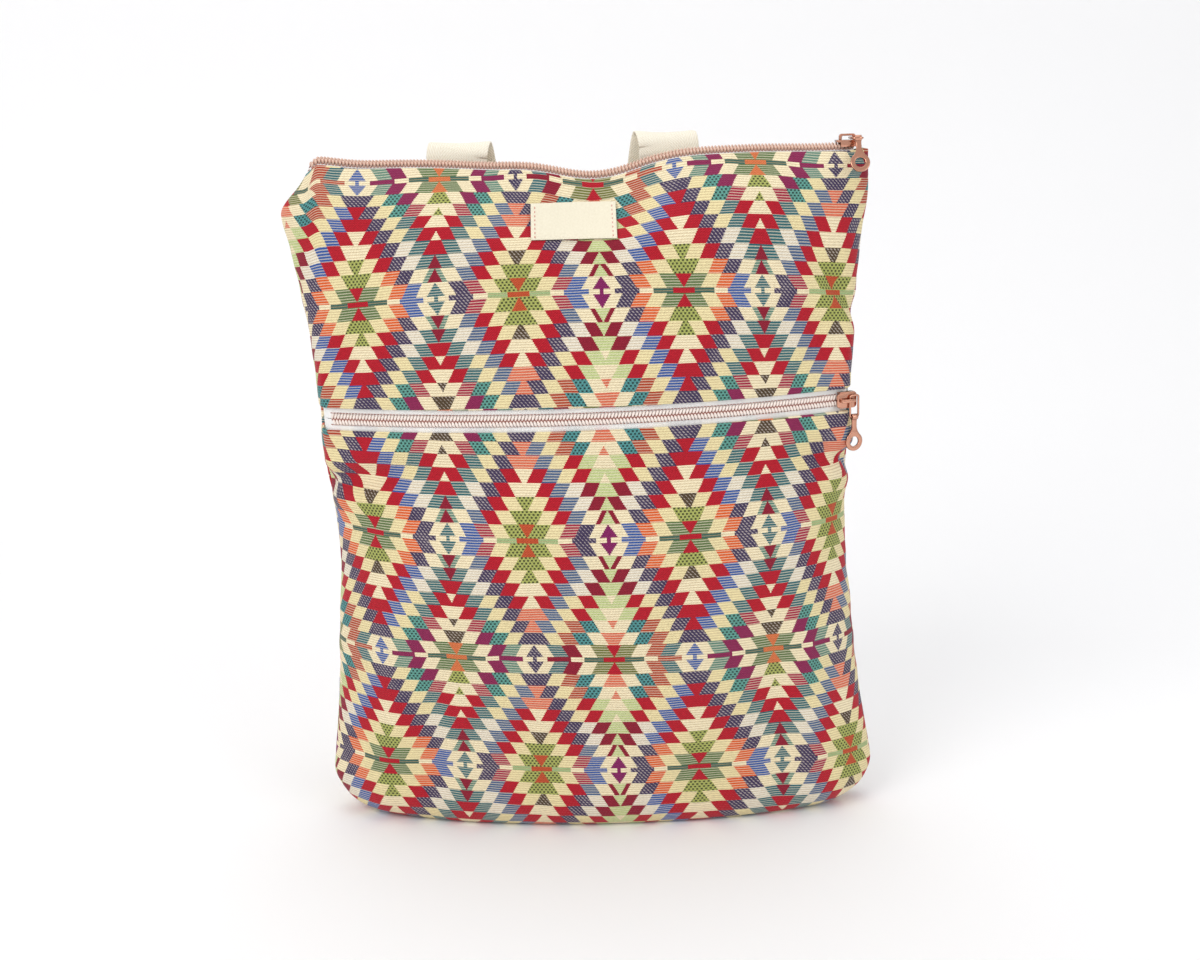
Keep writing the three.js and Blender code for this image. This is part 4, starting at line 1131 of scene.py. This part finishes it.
def tabShapes():
    eyeHalf = link["inner"] / 2 - 0.3
    ring, hole, far, thick = 5.5, 2.9, 14.5, 0.7
    neck = math.acos(eyeHalf / ring) * 0.75
    turns = np.linspace(math.pi - neck, neck + 2 * math.pi, 34)
    arc = [(ring * math.cos(a), -far + ring * math.sin(a)) for a in turns]
    waist = [(-eyeHalf, -0.4), (-eyeHalf * 0.8, -3.5), (-eyeHalf * 0.84, -6.2), (-eyeHalf * 1.2, -8.4)]
    outline = waist + arc + [(-x, y) for x, y in reversed(waist)]
    body = plate(outline, [circle(hole, 28, -far)], -thick, thick, 0.35, 3)
    return [body, tube((-eyeHalf, 0, 0), (eyeHalf, 0, 0), 1.75, 1.0)]


def zipPull(prefix, frameMatrix, hang):
    linkMatrix = frameMatrix @ Matrix.Translation((slider["foot"] / 2, 0, linkHeight))
    tabMatrix = linkMatrix @ Matrix.Translation((link["shift"], -linkBar, 0))
    tabMatrix = tabMatrix @ Matrix.Rotation(math.radians(hang), 4, "X")
    metalPiece(prefix + "_zip_slider", sliderShapes(), frameMatrix, prefix + "_slider_body", prefix + "_slider")
    metalPiece(prefix + "_zip_link", linkShapes(), linkMatrix, prefix + "_link_body", prefix + "_pull_link")
    metalPiece(prefix + "_zip_tab", tabShapes(), tabMatrix, prefix + "_tab_body", prefix + "_pull_tab")


zipTilt = Matrix.Rotation(-zipTurn, 4, "Y")
topZipMatrix = Matrix.Translation((0, 0, bag["top"] + zipStand)) @ zipTilt
topPullMatrix = topZipMatrix @ Matrix.Translation((topRightEnd - slider["parked"], 0, 0))
zipPull("top", topPullMatrix, 64)
pocketSliderTurn = math.asin((zipArcHalf + 1) / zipArcRadius)
pocketPullMatrix = (Matrix.Translation(pocketZipFrame["centre"]) @ zipTilt @ Matrix.Rotation(math.pi / 2, 4, "X")
                    @ Matrix.Rotation(pocketSliderTurn, 4, "Y") @ Matrix.Translation((0, 0, pocketZipFrame["radius"])))
zipPull("pocket", pocketPullMatrix, 0)
print("pulls made")


# Label: a cotton strip on the front with a line of stitches at each end
label = {"width": 47, "height": 18.5, "thick": 0.8, "drop": 31.0, "shift": -3, "turn": -0.6, "stand": 0.45,
         "stitchInset": 2.2, "stitchStart": 1.6, "stitchPitch": 2.1}


def skinDepth(side, x, height):
    fromMiddle = np.asarray(x) + bag["lean"] * height
    width = np.where(fromMiddle < 0, sizeAt(height, "left"), sizeAt(height, "right"))
    return sizeAt(height, "depth") * depthAt(side, height, fromMiddle / width) + bag["gap"] / 2


def labelPoint(along, up, out):
    turn = math.radians(label["turn"])
    middle = bag["top"] - label["drop"]
    x = label["shift"] - bag["lean"] * middle + along * math.cos(turn) - up * math.sin(turn)
    height = middle + along * math.sin(turn) + up * math.cos(turn)
    clothHeightHere = height
    for _ in range(6):
        clothHeightHere = height - float(topSag(x, clothHeightHere)) - 0.6
    depth = float(skinDepth(front, x, clothHeightHere)) + label["stand"] + out
    at = np.array([x, -depth, height + climbAt(height) * x])
    lift = 1.1 * waves(x, clothHeightHere + climbAt(height) * x, 10, [130, 62])
    folds = sum(d * float(bump(x, clothHeightHere, p, s, t)) for p, s, t, d in frontFolds)
    at[1] -= float(lift) + folds
    return at


def labelPiece():
    ups = edgeSpaced(-label["height"] / 2, label["height"] / 2, 1.4, (0, 0.3, 0.8))[::-1]
    alongs = edgeSpaced(-label["width"] / 2, label["width"] / 2, 1.6, (0, 0.3, 0.8))
    outer, inner, flatAt = [], [], []
    for up in ups:
        edge = np.minimum(label["width"] / 2 - np.abs(alongs), label["height"] / 2 - abs(up))
        lift = label["thick"] * (0.45 + 0.55 * np.minimum(1, edge / 0.8) ** 0.5)
        outer.append([labelPoint(a, up, l + 0.12 * math.sin(a / 3.1)) for a, l in zip(alongs, lift)])
        inner.append([labelPoint(a, up, 0.0) for a in alongs])
        flatAt.append([(a, up) for a in alongs])
    piece = sheetObject("sewn_label", outer, inner, labelCloth, flatAt)
    places, longs, outs = [], [], []
    for end in (-1, 1):
        a = end * (label["width"] / 2 - label["stitchInset"])
        for up in np.arange(label["stitchStart"] - label["height"] / 2, label["height"] / 2 - 1, label["stitchPitch"]):
            places.append(labelPoint(a, up, label["thick"] + 0.05))
            longs.append(labelPoint(a, up + 0.5, label["thick"]) - labelPoint(a, up, label["thick"]))
            outs.append((0, -1, 0.3))
    stitches = beads("label_stitches", places, longs, outs, (1.6, 0.6, 0.5), threadPink)
    joinInto(piece, stitches)
    finishPiece(piece, "bag", "label_cotton", "label")


labelPiece()


# Shoulder straps: webbing along the same curve as its solid
strap = {
    "width": 34, "thick": 2.4, "spacing": 120, "shift": -6, "sewn": 40, "fold": 2, "rise": 12.3, "radius": 5.2,
    "lowerAcross": 0.155, "lowerTop": 62, "lowerEnd": 31, "slack": 26, "swing": 11, "foldSwing": 4, "offset": 2.4,
    "leftDrop": 2.6, "cup": 0.9, "box": (0.93, 0.985), "boxHalf": 13, "stitchPitch": 3.0,
    "hang": [(0, 0.55, 0.26, 0.968), (0.02, 0.95, 0.25, 0.865), (0.15, 1, 0.52, 0.697),
             (0.42, 0.64, 0.91, 0.516), (0.66, 0.27, 1, 0.374), (0.88, 0, 0.6, 0.245)],
}


def onBack(x, height, standOff):
    slope = (float(skinDepth(back, x, height + 0.2)) - float(skinDepth(back, x, height - 0.2))) / 0.4
    outward = np.array([0, 1, -slope]) / math.hypot(1, slope)
    return np.array([x, float(skinDepth(back, x, height)), height + climbAt(height) * x]) + outward * standOff


def strapPoints(side):
    middle = topCentre + strap["shift"] + side * strap["spacing"] / 2
    sewnHeights = np.linspace(bag["top"] - strap["sewn"], bag["top"] - strap["fold"], 6)
    points = [onBack(middle, h, strap["offset"]) for h in sewnHeights]
    edge = points[-1]
    radius = strap["radius"]
    foldZ = bag["top"] + climbAt(bag["top"]) * middle + strap["rise"] + min(0, strap["leftDrop"] * side) - radius
    for turn in np.linspace(math.pi, 0, 6):
        x = middle - side * strap["foldSwing"] * (1 - turn / math.pi)
        points.append(np.array([x, edge[1] + radius * (1 + math.cos(turn)), foldZ + radius * math.sin(turn)]))
    across = strap["lowerAcross"] if side < 0 else 1 - strap["lowerAcross"]
    lower = []
    for height in np.linspace(strap["lowerTop"], strap["lowerEnd"], 4):
        run = height - bag["cornerHeight"]
        lower.append(skinRow(back, [across], run)[0][0] + skinNormals(back, [across], run)[0] * strap["offset"])
    for out, inwards, behind, up in strap["hang"]:
        points.append(np.array([middle + (lower[0][0] - middle) * out - side * inwards * strap["swing"],
                                sizeAt(up * bag["top"], "depth") + behind * strap["slack"], up * bag["top"]]))
    return np.array(points + lower), across


# Centripetal curve through the points, evenly resampled
def smoothCurve(points, count):
    padded = np.concatenate([[2 * points[0] - points[1]], points, [2 * points[-1] - points[-2]]])
    samples = []
    for i in range(1, len(padded) - 2):
        p0, p1, p2, p3 = padded[i - 1:i + 3]
        d0, d1, d2 = [max(1e-4, np.sum((b - a) ** 2)) ** 0.25 for a, b in ((p0, p1), (p1, p2), (p2, p3))]
        t1 = ((p1 - p0) / d0 - (p2 - p0) / (d0 + d1) + (p2 - p1) / d1) * d1
        t2 = ((p2 - p1) / d1 - (p3 - p1) / (d1 + d2) + (p3 - p2) / d2) * d1
        for t in np.linspace(0, 1, 40, endpoint=False):
            samples.append((2 * t ** 3 - 3 * t * t + 1) * p1 + (t ** 3 - 2 * t * t + t) * t1
                           + (3 * t * t - 2 * t ** 3) * p2 + (t ** 3 - t * t) * t2)
    samples.append(points[-1])
    samples = np.array(samples)
    lengths = np.concatenate([[0], np.cumsum(np.linalg.norm(np.diff(samples, axis=0), axis=1))])
    wanted = np.linspace(0, lengths[-1], count)
    return np.stack([np.interp(wanted, lengths, samples[:, k]) for k in range(3)], -1), lengths[-1]


def strapPiece(side, name, node):
    points, across = strapPoints(side)
    curve, length = smoothCurve(points, 300)
    print(name, "length", round(length, 1))
    run = strap["lowerTop"] - bag["cornerHeight"]
    lowerWay = skinRow(back, [across + 0.01], run)[0][0] - skinRow(back, [across - 0.01], run)[0][0]
    lowerWay /= np.linalg.norm(lowerWay)
    profile = []
    half, thick = strap["width"] / 2, strap["thick"] / 2
    for a in np.linspace(0, 2 * math.pi, 40, endpoint=False):
        c, s = math.cos(a), math.sin(a)
        wide = half * np.sign(c) * abs(c) ** 0.35
        profile.append((wide, thick * np.sign(s) * abs(s) ** 0.55))
    rows, flatAt = [], []
    for i, at in enumerate(curve):
        share = i / (len(curve) - 1)
        along = curve[min(i + 1, len(curve) - 1)] - curve[max(i - 1, 0)]
        along /= np.linalg.norm(along)
        height = at[2] - climbAt(at[2]) * at[0]
        upper = onBack(at[0] + 1, height, 0) - onBack(at[0] - 1, height, 0)
        way = upper / np.linalg.norm(upper)
        way = way + (np.array([1.0, 0, 0]) - way) * float(smoothstep(share, 0.08, 0.2))
        way = way + (lowerWay - way) * float(smoothstep(share, 0.7, 0.93))
        way -= along * way.dot(along)
        way /= np.linalg.norm(way)
        out = np.cross(along, way)
        cup = strap["cup"] * float(smoothstep(share, 0.12, 0.2) * (1 - smoothstep(share, 0.8, 0.9)))
        rows.append([at + way * w + out * (t - cup * (w / half) ** 2) for w, t in profile])
        flatAt.append([(w, share * length) for w, t in profile])
    rows, flatAt = np.array(rows), np.array(flatAt)
    high, wide = rows.shape[:2]
    grid = np.arange(high * wide).reshape(high, wide)
    after = np.roll(grid, -1, 1)
    faces = np.stack([grid[:-1], after[:-1], after[1:], grid[1:]], -1).reshape(-1, 4).tolist()
    faces += [grid[0].tolist(), grid[-1][::-1].tolist()]
    piece = makeObject(name, rows.reshape(-1, 3), faces, webbingCloth, flatAt.reshape(-1, 2))
    places, longs, outs = [], [], []

    def stitchRow(shareA, shareB, wA, wB):
        steps = max(2, int(math.hypot((shareB - shareA) * length, wB - wA) / strap["stitchPitch"]))
        for k in range(steps):
            t = (k + 0.5) / steps
            i = (shareA + (shareB - shareA) * t) * (high - 1)
            i0 = min(int(i), high - 2)
            at, ahead = curve[i0], curve[i0 + 1] - curve[i0]
            ahead /= np.linalg.norm(ahead)
            left, right = rows[i0][wide // 2], rows[i0][0]
            way = (right - left) / np.linalg.norm(right - left)
            out = np.cross(ahead, way)
            out = out if out[1] > 0 else -out
            w = wA + (wB - wA) * t
            places.append(at + way * w + out * (thick + 0.05))
            longs.append(ahead * (shareB - shareA) * length + way * (wB - wA))
            outs.append(out)

    a, b = strap["box"]
    w = strap["boxHalf"]
    for line in ((a, b, -w, -w), (a, b, w, w), (a, a + 0.0001, -w, w), (b, b + 0.0001, -w, w),
                 (a, b, -w, w), (a, b, w, -w)):
        stitchRow(*line)
    joinInto(piece, beads(name + "_stitches", places, longs, outs, (2.2, 0.6, 0.5), threadCream))
    return finishPiece(piece, "bag", "webbing", node)


strapPiece(-1, "left_strap", "left_shoulder_strap")
strapPiece(1, "right_strap", "right_shoulder_strap")
print("straps made")


# Stage: a pale sweep, and soft light
def buildStage():
    made, net, shader = newMaterial("stagePaper")
    setInputs(shader, {"Base Color": (0.94, 0.94, 0.95, 1), "Roughness": 0.9, "Specular IOR Level": 0.1})
    bend = 500
    profile = [(-1600, 0), (bend, 0)]
    profile += [(bend + bend * math.sin(a), bend - bend * math.cos(a)) for a in np.linspace(0, math.pi / 2, 16)[1:]]
    profile.append((1000, 2200))
    points, faces = [], []
    for i, (y, z) in enumerate(profile):
        points += [(-2200, y, z), (2200, y, z)]
        if i:
            faces.append([2 * i - 2, 2 * i - 1, 2 * i + 1, 2 * i])
    mesh = bpy.data.meshes.new("sweep")
    mesh.from_pydata([tuple(c * mm for c in p) for p in points], [], faces)
    mesh.materials.append(made)
    smoothFaces(mesh)
    addObject("sweep", mesh)


def areaLight(name, place, aim, size, power, colour=(1, 1, 1)):
    data = bpy.data.lights.new(name, "AREA")
    data.shape = "DISK"
    data.size = size
    data.energy = power
    data.color = colour
    made = addObject(name, data)
    made.location = place
    made.rotation_euler = (Vector(aim) - Vector(place)).to_track_quat("-Z", "Y").to_euler()


buildStage()
areaLight("keyLight", (-1.3, -1.5, 1.7), (0, 0, 0.2), 1.4, 21, (1, 0.985, 0.96))
areaLight("fillLight", (1.5, -1.4, 1.1), (0, 0, 0.2), 1.6, 7.5, (0.95, 0.975, 1))
areaLight("topLight", (0, 0.2, 2.2), (0, 0.1, 0), 1.8, 10)
world = bpy.data.worlds.new("world")
world.use_nodes = True
setInputs(world.node_tree.nodes["Background"], {"Color": (1, 1, 1, 1), "Strength": 0.6})
scene.world = world
scene.view_settings.view_transform = "Standard"
